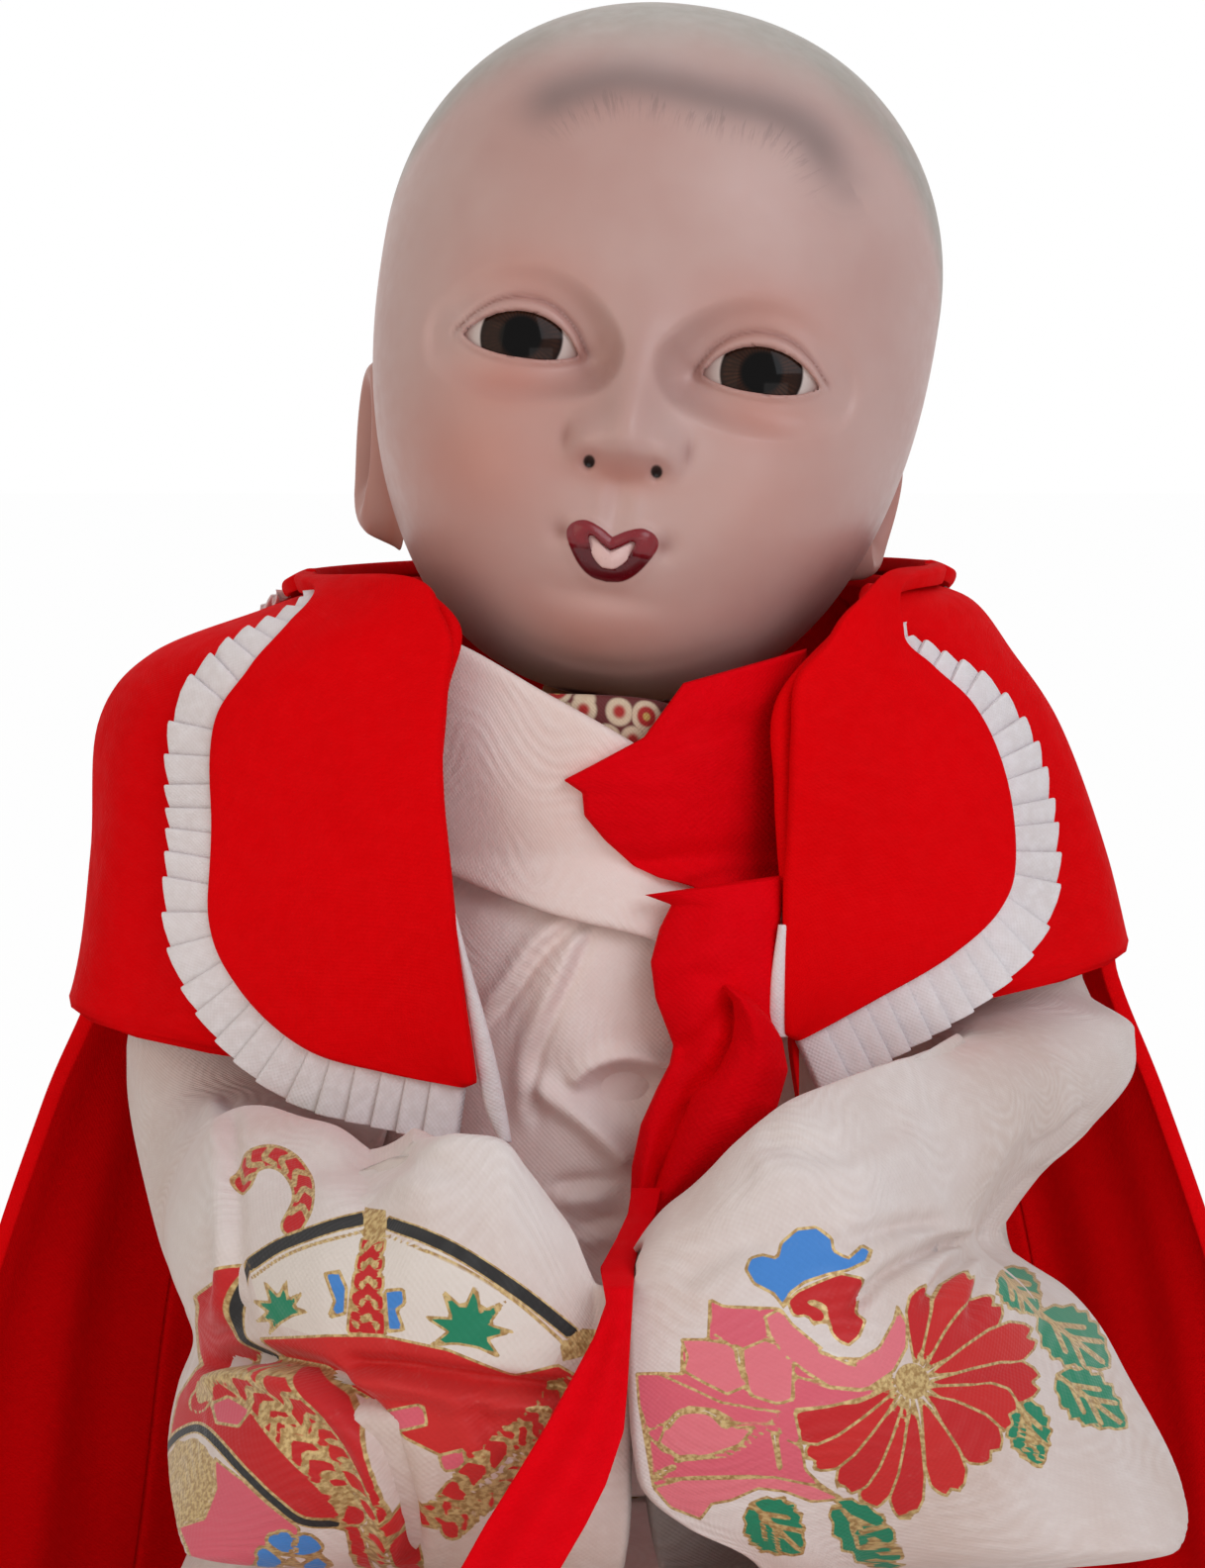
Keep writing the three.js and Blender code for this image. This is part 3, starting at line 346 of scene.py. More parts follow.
def placed(tree, group, vector, **values):
    made = node(tree, "ShaderNodeGroup", node_tree=group)
    tree.links.new(vector, made.inputs[0])
    wire(tree, made, **values)
    return made.outputs


def cutMap(tree):
    return node(tree, "ShaderNodeUVMap", uv_map="cut").outputs[0]


def objectPlace(tree):
    return node(tree, "ShaderNodeTexCoord").outputs["Object"]


# Woven cloth: a base colour, a darker and a lighter thread, crepe noise, thread bump
def clothMaterial(name, base, dark, light, threads, crepe, roughness=0.75, sheen=0.25, shine=0.2):
    material, tree, shader = newMaterial(name, Sheen_Weight=sheen, Sheen_Roughness=0.45,
                                         Specular_IOR_Level=shine)
    cut = cutMap(tree)
    weave = placed(tree, silkThreads, cut, Threads=threads)
    aged = placed(tree, agedMottle, objectPlace(tree), Scale=26.0)
    grain = noise(tree, cut, 150.0, 3.0, 0.65)
    tone = blend(tree, span(tree, aged["Broad"], 0.3, 0.7), dark, base)
    lit = math(tree, "MULTIPLY", span(tree, weave["Shade"], 0.35, 0.75), 0.45)
    wire(tree, shader, Base_Color=blend(tree, lit, tone, light),
         Roughness=span(tree, aged["Fine"], 0.3, 0.7, roughness - 0.06, roughness + 0.08))
    bump(tree, shader, math(tree, "MULTIPLY_ADD", grain, crepe, weave["Height"]), 0.35, 0.0004)
    return material


redSilk = clothMaterial("red_vest_silk", colour(234, 0, 8), colour(226, 0, 6), colour(240, 3, 12),
                        110.0, 0.5, sheen=0.0, shine=0.05)
redSash = clothMaterial("red_sash_crepe", colour(234, 0, 16), colour(224, 0, 12), colour(242, 3, 22),
                        80.0, 1.2, sheen=0.0, shine=0.05)
whiteCotton = clothMaterial("frill_cotton", colour(240, 234, 236), colour(226, 218, 218), colour(250, 247, 250),
                            120.0, 0.3, roughness=0.82, sheen=0.1)
stuffedCotton = clothMaterial("stuffed_cotton", colour(214, 200, 180), colour(190, 172, 150),
                              colour(228, 216, 198), 60.0, 0.6, roughness=0.9)


# Printed dyes: colour, and half the width of the gilt line round a shape
dyeSet = {"ivory": (colour(232, 222, 214), 0), "leaf": (colour(12, 128, 92), 1.3),
    "sky": (colour(66, 136, 214), 1.6), "crimson": (colour(196, 14, 20), 1.4),
    "scarlet": (colour(204, 26, 24), 1.4), "pink": (colour(222, 96, 114), 1.4),
    "rose": (colour(230, 118, 130), 1.4), "ink": (colour(14, 11, 11), 0.8)}
# Cream grounds of the plain and the printed silk; the printed silk of the sleeves and skirt is darker, as painted
# shade
creamTonesWithPaintedShade = {False: (colour(238, 212, 204), colour(248, 236, 232)),
              True: (colour(214, 192, 182), colour(228, 216, 212))}


# Cream figured kimono silk: wavy raised figure, fine crepe, and the printed colours where a print mark is given;
# the printed copy has a darker ground, as painted shade
def creamMaterial(name, printed):
    material, tree, shader = newMaterial(name, Sheen_Weight=0.15, Sheen_Roughness=0.4)
    cut = cutMap(tree)
    figure = placed(tree, figuredWaves, cut, Pitch=34.0)
    weave = placed(tree, silkThreads, cut, Threads=100.0)
    aged = placed(tree, agedMottle, objectPlace(tree), Scale=22.0)
    tone = blend(tree, span(tree, aged["Broad"], 0.3, 0.72), *creamTonesWithPaintedShade[printed])
    tone = blend(tree, math(tree, "MULTIPLY", figure["Ridge"], 0.12), tone, colour(248, 242, 242))
    lit = math(tree, "MULTIPLY", span(tree, weave["Shade"], 0.4, 0.8), 0.2)
    tone = blend(tree, lit, tone, colour(250, 244, 240))
    rough = span(tree, figure["Ridge"], 0.0, 1.0, 0.72, 0.58)
    if printed:
        worn = span(tree, weave["Shade"], 0.05, 0.4, 0.86, 1.0)
        gold = span(tree, mark(tree, "gilt"), -0.6, 0.6, 1.0, 0.0)
        for dye, (ink, rim) in dyeSet.items():
            edge = mark(tree, dye)
            tone = blend(tree, math(tree, "MULTIPLY", span(tree, edge, -0.5, 0.5, 1.0, 0.0), worn), tone, ink)
            if rim:
                line = span(tree, math(tree, "ABSOLUTE", edge), rim - 0.4, rim + 0.4, 1.0, 0.0)
                gold = math(tree, "MAXIMUM", gold, line)
        grain = span(tree, noise(tree, cut, 120.0, 2.0), 0.35, 0.65)
        tone = blend(tree, gold, tone, blend(tree, grain, colour(158, 122, 70), colour(206, 178, 122)))
        rough = math(tree, "MULTIPLY_ADD", gold, -0.2, rough)
        wire(tree, shader, Metallic=math(tree, "MULTIPLY", gold, 0.3))
    wire(tree, shader, Base_Color=tone, Roughness=rough)
    height = math(tree, "MULTIPLY_ADD", figure["Ridge"], 0.4, math(tree, "MULTIPLY", weave["Height"], 0.5))
    bump(tree, shader, height, 0.4, 0.0006)
    return material


creamSilk = creamMaterial("figured_cream_silk", False)
printedShadedSilk = creamMaterial("printed_shaded_cream_silk", True)


# Under-collar brocade: red and gold blossoms as cells on a dark ground
def brocadeMaterial():
    material, tree, shader = newMaterial("under_collar_brocade", Sheen_Weight=0.1)
    cut = cutMap(tree)
    cells = node(tree, "ShaderNodeTexVoronoi", feature="F1")
    wire(tree, cells, Vector=cut, Scale=20.0)
    out = cells.outputs["Distance"]
    centre = span(tree, out, 0.12, 0.2)
    tone = blend(tree, centre, colour(214, 178, 96), colour(176, 30, 26))
    tone = blend(tree, span(tree, out, 0.3, 0.42), tone, colour(226, 204, 176))
    tone = blend(tree, span(tree, out, 0.5, 0.62), tone, colour(96, 22, 24))
    weave = placed(tree, silkThreads, cut, Threads=140.0)
    tone = blend(tree, math(tree, "MULTIPLY", weave["Shade"], 0.25), tone, colour(60, 16, 14))
    wire(tree, shader, Base_Color=tone, Roughness=span(tree, centre, 0.0, 1.0, 0.45, 0.7))
    bump(tree, shader, weave["Height"], 0.4, 0.0004)
    return material


brocade = brocadeMaterial()


# Coordinates stretched along the three axes
def stretched(tree, vector, scale):
    made = node(tree, "ShaderNodeMapping")
    wire(tree, made, Vector=vector, Scale=scale)
    return made.outputs[0]


# Shell-white skin: painted blush, with a paler cheek on the lit side and reddish painted shade under the nose,
# scalp wash, brushed fringe, lips, and painted shade in the creases, nostrils and mouth opening over a satin coat
def skinMaterial(name, head):
    material, tree, shader = newMaterial(name, Subsurface_Weight=0.08, Subsurface_Scale=0.002,
                                         Subsurface_Radius=(1.0, 0.35, 0.2), Specular_IOR_Level=0.42)
    place = objectPlace(tree)
    aged = placed(tree, agedMottle, place, Scale=34.0)
    tone = blend(tree, span(tree, aged["Broad"], 0.25, 0.75), colour(192, 152, 144), colour(201, 168, 161))
    rough = span(tree, aged["Fine"], 0.3, 0.7, 0.36, 0.46)
    if head:
        # Blush, partly painted light: weaker on the lit cheek, and reddish painted shade under the nose
        tone = blend(tree, mark(tree, "blushAndPaintedLight"), tone, colour(192, 114, 94))
        wash = math(tree, "MULTIPLY", mark(tree, "scalp"), span(tree, aged["Broad"], 0.2, 0.6, 0.72, 0.95))
        tone = blend(tree, wash, tone, colour(150, 142, 131))
        strokes = stretched(tree, mark(tree, "brush", "Vector"), (1.0, 0.12, 1.0))
        hair = span(tree, noise(tree, strokes, 0.9, 3.0, 0.7), 0.36, 0.66)
        lines = math(tree, "MULTIPLY", hair, mark(tree, "tips"))
        hair = math(tree, "MAXIMUM", mark(tree, "fringe"), lines, clamp=True)
        tone = blend(tree, hair, tone, colour(106, 91, 90))
        # Painted shade in the lid crease, along the lid edges, in the eye and mouth corners, beside the nose wings
        # and in the ear's hollow
        tone = blend(tree, mark(tree, "crease"), tone, colour(128, 62, 50))
        lip = span(tree, mark(tree, "lip"), -0.12, 0.16, 1.0, 0.0)
        # Lower lip in a darker red, and painted shade along the edge of the mouth opening
        lipTone = blend(tree, mark(tree, "lowerLipAndBiteShade"), colour(132, 14, 28), colour(88, 4, 16))
        tone = blend(tree, lip, tone, lipTone)
        # Nostrils: painted shadow in two small dark circles
        tone = blend(tree, span(tree, mark(tree, "nostrilShadow"), -0.2, 0.25, 1.0, 0.0), tone, colour(24, 10, 8))
        rough = math(tree, "MULTIPLY_ADD", lip, -0.18, rough)
    wire(tree, shader, Base_Color=tone, Roughness=rough)
    bump(tree, shader, math(tree, "ADD", aged["Fine"], noise(tree, place, 900.0, 2.0)), 0.05, 0.0003)
    return material


headSkin = skinMaterial("head_gofun", True)
limbSkin = skinMaterial("limb_gofun", False)


# Glass eye: white darkening towards its rim as painted shade under the lids, brown iris with radial fibres and a
# dark pupil under clear glass
def glassMaterial():
    material, tree, shader = newMaterial("eye_glass", Roughness=0.08, Specular_IOR_Level=0.1)
    radius = mark(tree, "iris")
    spokes = math(tree, "SINE", math(tree, "MULTIPLY", mark(tree, "spoke"), 46.0))
    fibre = math(tree, "MULTIPLY_ADD", spokes, 0.5, 0.5)
    fibre = math(tree, "MULTIPLY", fibre, span(tree, noise(tree, objectPlace(tree), 260.0), 0.3, 0.7))
    brown = blend(tree, fibre, colour(40, 22, 15), colour(66, 38, 26))
    brown = blend(tree, span(tree, radius, 6.4, 7.6), brown, colour(30, 15, 11))
    tone = blend(tree, span(tree, radius, 3.4, 4.6), colour(6, 4, 4), brown)
    # White of the eye, darker towards its rim: painted shade where the lids overhang
    white = blend(tree, span(tree, radius, 8.0, 11.5), colour(205, 190, 184), colour(150, 108, 100))
    wire(tree, shader, Base_Color=blend(tree, span(tree, radius, 7.4, 7.9), tone, white))
    return material


eyeGlass = glassMaterial()


def toothMaterial():
    material, tree, shader = newMaterial("mouth_piece_white", Coat_Weight=0.4, Coat_Roughness=0.2)
    aged = placed(tree, agedMottle, objectPlace(tree), Scale=120.0)
    wire(tree, shader, Base_Color=blend(tree, aged["Broad"], colour(206, 150, 142), colour(232, 204, 200)),
         Roughness=span(tree, aged["Fine"], 0.3, 0.7, 0.25, 0.4))
    return material


toothWhite = toothMaterial()


# Wood: rings stretched along the grain, with pores
def woodMaterial(name, pale, dark, along):
    material, tree, shader = newMaterial(name)
    place = stretched(tree, objectPlace(tree), (1.0, 1.0, along))
    grain = noise(tree, place, 60.0, 4.0, 0.6)
    pores = noise(tree, place, 420.0, 2.0)
    tone = blend(tree, span(tree, grain, 0.35, 0.65), dark, pale)
    wire(tree, shader, Base_Color=blend(tree, math(tree, "MULTIPLY", pores, 0.3), tone, dark),
         Roughness=span(tree, pores, 0.3, 0.7, 0.5, 0.75))
    bump(tree, shader, math(tree, "ADD", grain, pores), 0.15, 0.0004)
    return material


turnedWood = woodMaterial("turned_neck_wood", colour(196, 156, 104), colour(150, 108, 64), 0.12)
bodyWood = woodMaterial("body_wood", colour(214, 186, 144), colour(176, 142, 100), 0.1)


def cordMaterial():
    material, tree, shader = newMaterial("hemp_cord", Sheen_Weight=0.2)
    weave = placed(tree, silkThreads, cutMap(tree), Threads=140.0)
    wire(tree, shader, Base_Color=blend(tree, weave["Shade"], colour(120, 104, 84), colour(168, 150, 124)),
         Roughness=span(tree, weave["Shade"], 0.2, 0.8, 0.8, 0.95))
    bump(tree, shader, weave["Height"], 0.5, 0.0004)
    return material


hempCord = cordMaterial()
print("finishes ready")


def settle(obj, body, nodes=()):  # what carries a piece, its slot, and the solids it stands for
    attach(obj, body)
    if nodes:
        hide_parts(*nodes)
    return obj


# Cloth: reads its map of the cut cloth and gives the piece back unchanged
def cloth(obj):
    spots = np.zeros(2 * len(obj.data.loops), np.float32)
    obj.data.uv_layers["cut"].data.foreach_get("uv", spots)
    return obj


# Head, in its own frame: millimetres from its middle, the face towards -Y
headSet = {"width": 55.6, "widest": 14.8, "top": 69, "bottom": 69, "front": 59, "back": 64,
           "forward": 4, "overNeck": 71, "roll": 8.8, "pitch": 6, "yaw": 2.6, "neck": (-1, 2, 241)}


def turnAbout(axis, degrees):
    a = np.radians(degrees)
    i, j = [(1, 2), (2, 0), (0, 1)][axis]
    m = np.eye(3)
    m[i, i] = m[j, j] = np.cos(a)
    m[i, j], m[j, i] = -np.sin(a), np.sin(a)
    return m


headTurn = turnAbout(1, headSet["roll"]) @ turnAbout(0, -headSet["pitch"]) @ turnAbout(2, -headSet["yaw"])


def headPlace(points):
    raised = points + np.array([0, -headSet["forward"], headSet["overNeck"]])
    return raised @ headTurn.T + np.array(headSet["neck"])


def dome(t, power):
    return np.clip(1 - np.clip(np.abs(t), 0, 1) ** power, 0, 1) ** (1 / power)


# Head surface: superellipse rings whose width, front and back fall off as domes above and below the widest level
def headBase(around, level):
    over = level - headSet["widest"]
    up, down = headSet["top"] - headSet["widest"], headSet["bottom"] + headSet["widest"]
    t = np.where(over > 0, over / up, over / down)
    high = over > 0
    width = headSet["width"] * np.where(high, dome(t, 2.12), dome(t, 2.26))
    front = headSet["front"] * np.where(high, dome(t, 2.2), dome(t, 3.58))
    back = headSet["back"] * np.where(high, dome(t, 2.2), dome(over / (down * 0.9), 1.8))
    low = np.clip(-(level + headSet["bottom"] * 0.55) / (headSet["bottom"] * 0.45), 0, None)
    middle = -headSet["front"] * 0.37 * low ** 2
    square = 2.2 + 0.45 * bell(level, -14, 32)
    across = np.sin(around)
    depth = (1 - np.abs(across) ** square) ** (1 / square)
    fore = np.cos(around) > 0
    y = np.where(fore, middle - (front + middle) * depth, middle + np.maximum(back - middle, 2) * depth)
    return np.stack([width * across, y, level], -1)


eyeSet = {"spread": 22.3, "level": -6.5, "ball": 18.0, "depth": 37.0, "iris": -6.7}
upperLid = [(11.3, -8.3), (13.9, -5.0), (17.7, -2.7), (22.0, -1.9), (26.4, -2.6), (30.2, -4.6), (33.4, -7.4)]
lowerLid = [(33.4, -7.4), (30.6, -9.2), (26.6, -10.3), (22.0, -10.6), (17.4, -10.3), (13.8, -9.4), (11.3, -8.3)]
eyeOutline = np.vstack([through(upperLid, uniform(40))[:-1], through(lowerLid, uniform(40))[:-1]])
lipRight = [(0, -40.8), (2.4, -39.4), (5.2, -38.5), (7.5, -39.2), (8.5, -40.9), (7.6, -43.4), (5.4, -46.5),
            (2.9, -48.3), (0, -48.8)]
biteRight = [(0, -43.2), (1.8, -42.1), (3.5, -41.0), (4.4, -41.2), (3.9, -42.9), (2.7, -44.9), (1.2, -46.2),
             (0, -46.4)]


def mirrored(half):  # closed outline from its right half, top to bottom
    right = through(half, uniform(40))
    return np.vstack([right[:-1], (right * [-1, 1])[::-1][:-1]])


lipOutline, biteOutline = mirrored(lipRight), mirrored(biteRight)
fringeArc = [(512, 140), (526, 119), (549, 97), (586, 81), (632, 72), (682, 79), (732, 92), (781, 104),
             (824, 130), (856, 180)]


# Face: humps as height, distance from the middle line, half width, level and half height
faceSet = {"relief": [(-0.8, 11.5, 1.2, -23.8, 3.2), (-2.4, 6.2, 1.224745, -28.2, 1.224745),
        (4.0, 27, 16, -34, 16), (2.2, 0, 13, -42, 9), (-0.7, 0, 1.9, -35, 4.0), (0.35, 3.2, 1.5, -35, 3.6),
        (-1.1, 9.9, 2.44949, -41, 2.44949), (-0.9, 0, 9, -51.4, 2.2), (2.0, 0, 12, -57, 6),
        (1.0, 0, 30, 26, 22)],
    # Blush rows: under the eyes, reddish painted shade under the nose, the chin and the lids
    "blushAndPaintedLight": [(0.4, 23, 10, -15, 5), (0.45, 0, 9, -29.5, 3), (0.35, 0, 16, -58, 8), (0.3, 22, 13, 5, 6)],
    # Crease rows: painted shade beside the nose wings and at the mouth corners
    "crease": [(0.4, 11.5, 0.8, -23.8, 2.2), (0.5, 9.4, 1.48324, -41, 1.48324)]}


def humps(across, level, rows):
    return sum(high * bell(across, out, wide) * bell(level, at, tall) for high, out, wide, at, tall in rows)


# Moves points of the plane that lie close to an outline onto it, so its edge is drawn cleanly
def snapTo(x, z, gap, reachIn, distance):
    e = 0.05
    near = np.abs(gap) < reachIn
    gx = (distance(x + e, z) - distance(x - e, z)) / (2 * e)
    gz = (distance(x, z + e) - distance(x, z - e)) / (2 * e)
    return np.where(near, x - gx * gap, x), np.where(near, z - gz * gap, z), np.where(near, 0, gap)


def makeHead():
    columns, rows = 300, 272
    s = np.linspace(-1, 1, columns, endpoint=False)
    around = np.pi * (0.46 * s + 0.54 * s ** 3)
    polar = np.linspace(0, np.pi, 2000)
    dense = 1 + 1.7 * ramp(polar, 1.45, 1.6) * ramp(polar, 2.62, 2.45)
    dense += 0.5 * ramp(polar, 0.5, 0.7) * ramp(polar, 1.1, 0.9)
    share = np.cumsum(dense) - dense[0]
    polar = np.interp(np.linspace(0, share[-1], rows), share, polar)
    c = np.cos(polar)
    level = np.where(c > 0, c * headSet["top"], c * headSet["bottom"])
    around, level = np.meshgrid(around, level)
    p = headBase(around, level)
    facing = ramp(-outward(p)[..., 1], 0, 0.4)
    x, z = p[..., 0].copy(), p[..., 2].copy()
    ax = np.abs(x)
    front = facing > 0.01

    # Signed distances to the eyes, lips and mouth, only worked out near the face
    far = np.full(x.shape, 30.0)
    lids, lips, bite = far.copy(), far.copy(), far.copy()
    nearEyes = front & (np.abs(z + 6.5) < 18) & (ax < 46)
    nearMouth = front & (np.abs(z + 43.5) < 12) & (ax < 16)
    eyeGap = lambda u, w: outlineDistance(np.abs(u), w, eyeOutline)
    biteGap = lambda u, w: outlineDistance(u, w, biteOutline)
    lids[nearEyes] = eyeGap(x[nearEyes], z[nearEyes])
    bite[nearMouth] = biteGap(x[nearMouth], z[nearMouth])
    for gaps, rule, near in ((lids, eyeGap, nearEyes), (bite, biteGap, nearMouth)):
        x[near], z[near], gaps[near] = snapTo(x[near], z[near], gaps[near], 0.34, rule)
    lips[nearMouth] = outlineDistance(x[nearMouth], z[nearMouth], lipOutline)
    ax = np.abs(x)

    # Relief towards the viewer: bridge, tip and wings of the nose, the fold under the chin, then the table's humps
    bridge = 4.2 * ramp(z, 12, -18) * ramp(z, -31.5, -25.5)
    d = bridge * bell(x, 0, mix(7.5, 5.2, ramp(z, 8, -10)))
    d += 4.4 * bell(x, 0, 7.4) * bell(z, -22.8, np.where(z < -22.5, 4.8, 9.0))
    d += 3.2 * bell(ax, 7.4, 3.7) * bell(z, -24.9, np.where(z < -24.9, 3.4, 4.4))
    d -= 0.9 * bell(z, -63.5 + (x / 20) ** 2 * 5, 1.3) * bell(x, 0, 15)
    d += humps(ax, z, faceSet["relief"])
    lipBulge = np.where(lips < 0, np.sqrt(np.clip(-lips, 0, 1.5) / 1.5), 0)
    d += (1.2 * lipBulge + 0.3 * bell(lips, 0.4, 0.9)) * np.where(z > -43.5, 1.15, 0.9)
    d -= 5.0 * ramp(-bite, 0.0, 0.45)
    y = p[..., 1] - d * facing

    # Sockets: near each opening the skin follows the ball, with a thick upper lid, a crease and a thin lower rim
    dx, dz = ax - eyeSet["spread"], z - eyeSet["level"]
    ball = -eyeSet["depth"] - np.sqrt(np.clip(eyeSet["ball"] ** 2 - dx ** 2 - dz ** 2, 30, None))
    upper = ramp(z - (-8.3 + (ax - 11.3) * 0.04), -0.9, 1.5)
    lidWide = mix(1.0, 2.2, np.clip(1 - (dx / 11.5) ** 2, 0, 1))
    lidHigh = 0.95 * bell(lids, lidWide * 0.5, lidWide * 0.52) - 0.75 * bell(lids, lidWide + 0.55, 0.42)
    lidHigh += 0.25 * bell(lids, lidWide + 2.2, 1.3)
    rimLow = 0.5 * bell(lids, 0.45, 0.5) - 0.15 * bell(lids, 1.5, 0.6)
    weight = np.where(lids < 20, 1 - ramp(lids, 0.6, 9.0), 0)
    y = mix(y, ball - 0.55, weight) - mix(rimLow, lidHigh, upper) * (lids >= 0) * facing
    y += 5.5 * ramp(-lids, 0.0, 0.4)
    p = np.stack([x, y, z], -1)
    world = headPlace(p)

    # Painted marks, painted shade and light among them
    px, py = pixelOf(world)
    arcGap, arcAt, arcSide = lineDistance(px, py, through(fringeArc, uniform(60)))
    above = np.where(arcSide > 0, -arcGap, arcGap)
    if np.mean(above[(py < 40) & front]) < 0:
        above = -above
    ends = ramp(arcAt, 0, 70) * ramp(arcAt, 455, 360)
    painted = facing * ends * (z > 10)
    fringe = painted * np.where(above > -8, bell(above, -8, 26), bell(above, -8, 22)) * 0.66
    tips = painted * ramp(above, -58, -16) * ramp(above, 26, -4) * 0.62
    brush = np.stack([arcAt / 5.2, above / 5.2, np.zeros(px.shape)], -1)
    bearing = np.degrees(np.abs(np.arctan2(x, -y)))
    hairline = np.interp(bearing, [0, 30, 50, 70, 90, 110, 140, 180], [55, 52, 42, 24, -2, -24, -44, -50])
    scalp = ramp(z - hairline, -9, 9)
    # Cheek blush, weaker on the doll's left cheek (x > 0): that side is painted paler, as under the cool key light
    cheek = np.where(x > 0, 0.28, 0.55) * bell(ax, 29, 16) * bell(z, -30, 15)
    blushAndPaintedLight = np.clip(cheek + humps(ax, z, faceSet["blushAndPaintedLight"]), 0, 0.8) * facing
    # Painted shade in the creases: lid crease and lid edges, inner eye corners, nose wings and mouth corners
    crease = 0.55 * bell(lids, lidWide + 0.5, 0.35) * upper + 0.3 * bell(lids, 0.0, 0.3)
    crease += humps(ax, z, faceSet["crease"])
    crease += 0.35 * bell(lids, 0.6, 0.8) * np.exp(-((ax - 11.6) ** 2 + (z + 8.3) ** 2) / 3.0)
    crease = np.clip(crease, 0, 0.85) * facing
    # Lower lip share, and painted shade in a ring along the edge of the mouth opening
    lowerLipAndBiteShade = ramp(z, -42.2, -44.2) + 0.4 * bell(bite, 0.2, 0.5)
    # Nostrils: painted shadow in two small circles, the holes themselves are not modelled
    nostrilShadow = np.where(front, np.hypot((ax - 6.2) / 1.05, z + 28.0) - 1.0, 5)
    marks = {"blushAndPaintedLight": blushAndPaintedLight, "scalp": scalp, "fringe": fringe, "tips": tips, "brush": brush, "crease": crease,
             "lip": np.where(front, np.clip(lips, -3, 3), 3), "lowerLipAndBiteShade": np.clip(lowerLipAndBiteShade, 0, 1),
             "nostrilShadow": np.clip(nostrilShadow, -2, 5)}
    head = surface("doll_head", world, headSkin, marks)
    return settle(head, "head", ["head_face", "head_back"])


makeHead()


# Glass eye: a shallow ball cap with a rounded skirt behind, radius by angle
def makeEye(side, name):
    r, a = gridOf(46, 97)
    a = a * 2 * np.pi
    out = 12.4 * np.minimum(r / 0.8, 1)
    bulge = np.sqrt(np.clip(eyeSet["ball"] ** 2 - out ** 2, 1, None))
    y = -eyeSet["depth"] - bulge + np.clip((r - 0.8) / 0.2, 0, 1) * 7.5
    shut = np.where(r > 0.999, 0.0, 1.0)
    x = side * eyeSet["spread"] + out * np.cos(a) * shut
    z = eyeSet["level"] + out * np.sin(a) * shut
    dx, dz = x - side * eyeSet["spread"], z - eyeSet["iris"]
    marks = {"iris": np.hypot(dx, dz)[:, :-1], "spoke": np.arctan2(dz, dx)[:, :-1]}
    points = headPlace(np.stack([x, y, z], -1))[:, :-1]
    obj = surface(name + "_glass", points, eyeGlass, marks)
    return settle(obj, "head", [name])


makeEye(1, "left_eye")
makeEye(-1, "right_eye")


# Mouth piece: rows shrinking from the mouth outline to its middle, crowned forwards
def makeMouth():
    ring = mix(biteOutline.mean(0), biteOutline, 1.06)
    middle = np.array([0, -44.2])
    share = np.concatenate([[1.0, 1.0], np.linspace(0.97, 0.0, 14)])
    back = np.concatenate([[3.0, 0.6], 0.4 - 0.9 * (1 - np.linspace(0.97, 0, 14) ** 2)])
    flat = middle + (ring[None] - middle) * share[:, None, None]
    y = -57.4 + back[:, None] + np.zeros(len(ring))
    points = np.stack([flat[..., 0], y, flat[..., 1]], -1)
    points = np.concatenate([points[:1], points], 0)
    points[0, :, 0], points[0, :, 2] = middle
    obj = surface("tooth_and_tongue", headPlace(points), toothWhite)
    return settle(obj, "head", ["mouth_plate"])


makeMouth()


# Ears: half height, half width, distance out and back, level
earSet = {"left_ear": (14, 7.5, 46.4, 8, -25), "right_ear": (19, 8.4, 49.6, 4, -27)}


# Ear: polar grid, a raised rim, a hollow inside it and a full lobe, its edge tucked into the head
def makeEar(side, name):
    r, a = gridOf(40, 81)
    a = a * 2 * np.pi
    long, wide, base, behind, level = earSet[name]
    shape = 1 + 0.10 * np.cos(a - 1.1) - 0.06 * np.cos(2 * a + 0.6)
    lobe = bell(np.sin(a), -1, 0.5)
    high = 5.6 * bell(r, 0.78, 0.2) * (1 - 0.45 * lobe) + 4.2 * lobe * bell(r, 0.6, 0.35)
    high += 2.0 * bell(r, 0.42, 0.16) * bell(np.cos(a), -0.2, 0.7) * (1 - lobe) + 1.5 * (1 - r)
    high -= 4.5 * ramp(r, 0.86, 1.0)
    back = r * wide * shape * np.cos(a)
    up = r * long * shape * np.sin(a)
    lean = np.radians(24)
    x = side * (base + 0.85 * high + back * 0.34 + up * 0.12 + 0.1 * np.minimum(up + 8, 0))
    y = behind + back * np.cos(lean) + up * 0.12
    z = level + up
    # Ear: blush, and painted shade in the hollow inside the rim
    marks = {"blushAndPaintedLight": 0.35 + 0.3 * bell(high, 0, 2), "crease": 0.35 * bell(r, 0.55, 0.12) * (1 - lobe)}
    empty = np.zeros(r.shape)
    marks.update({"scalp": empty, "fringe": empty, "tips": empty, "lip": empty + 3, "lowerLipAndBiteShade": empty,
                  "nostrilShadow": empty + 5,
                  "brush": np.zeros((*r.shape, 3))})
    marks = {k: v[:, :-1] for k, v in marks.items()}
    points = headPlace(np.stack([x, y, z], -1))[:, :-1]
    obj = surface(name, points, headSkin, marks, turn=side < 0)
    return settle(obj, "head")


makeEar(1, "left_ear")
makeEar(-1, "right_ear")
print("head ready")


# Sewing helpers
noDye = 9.0  # distance from a print where its cloth is bare

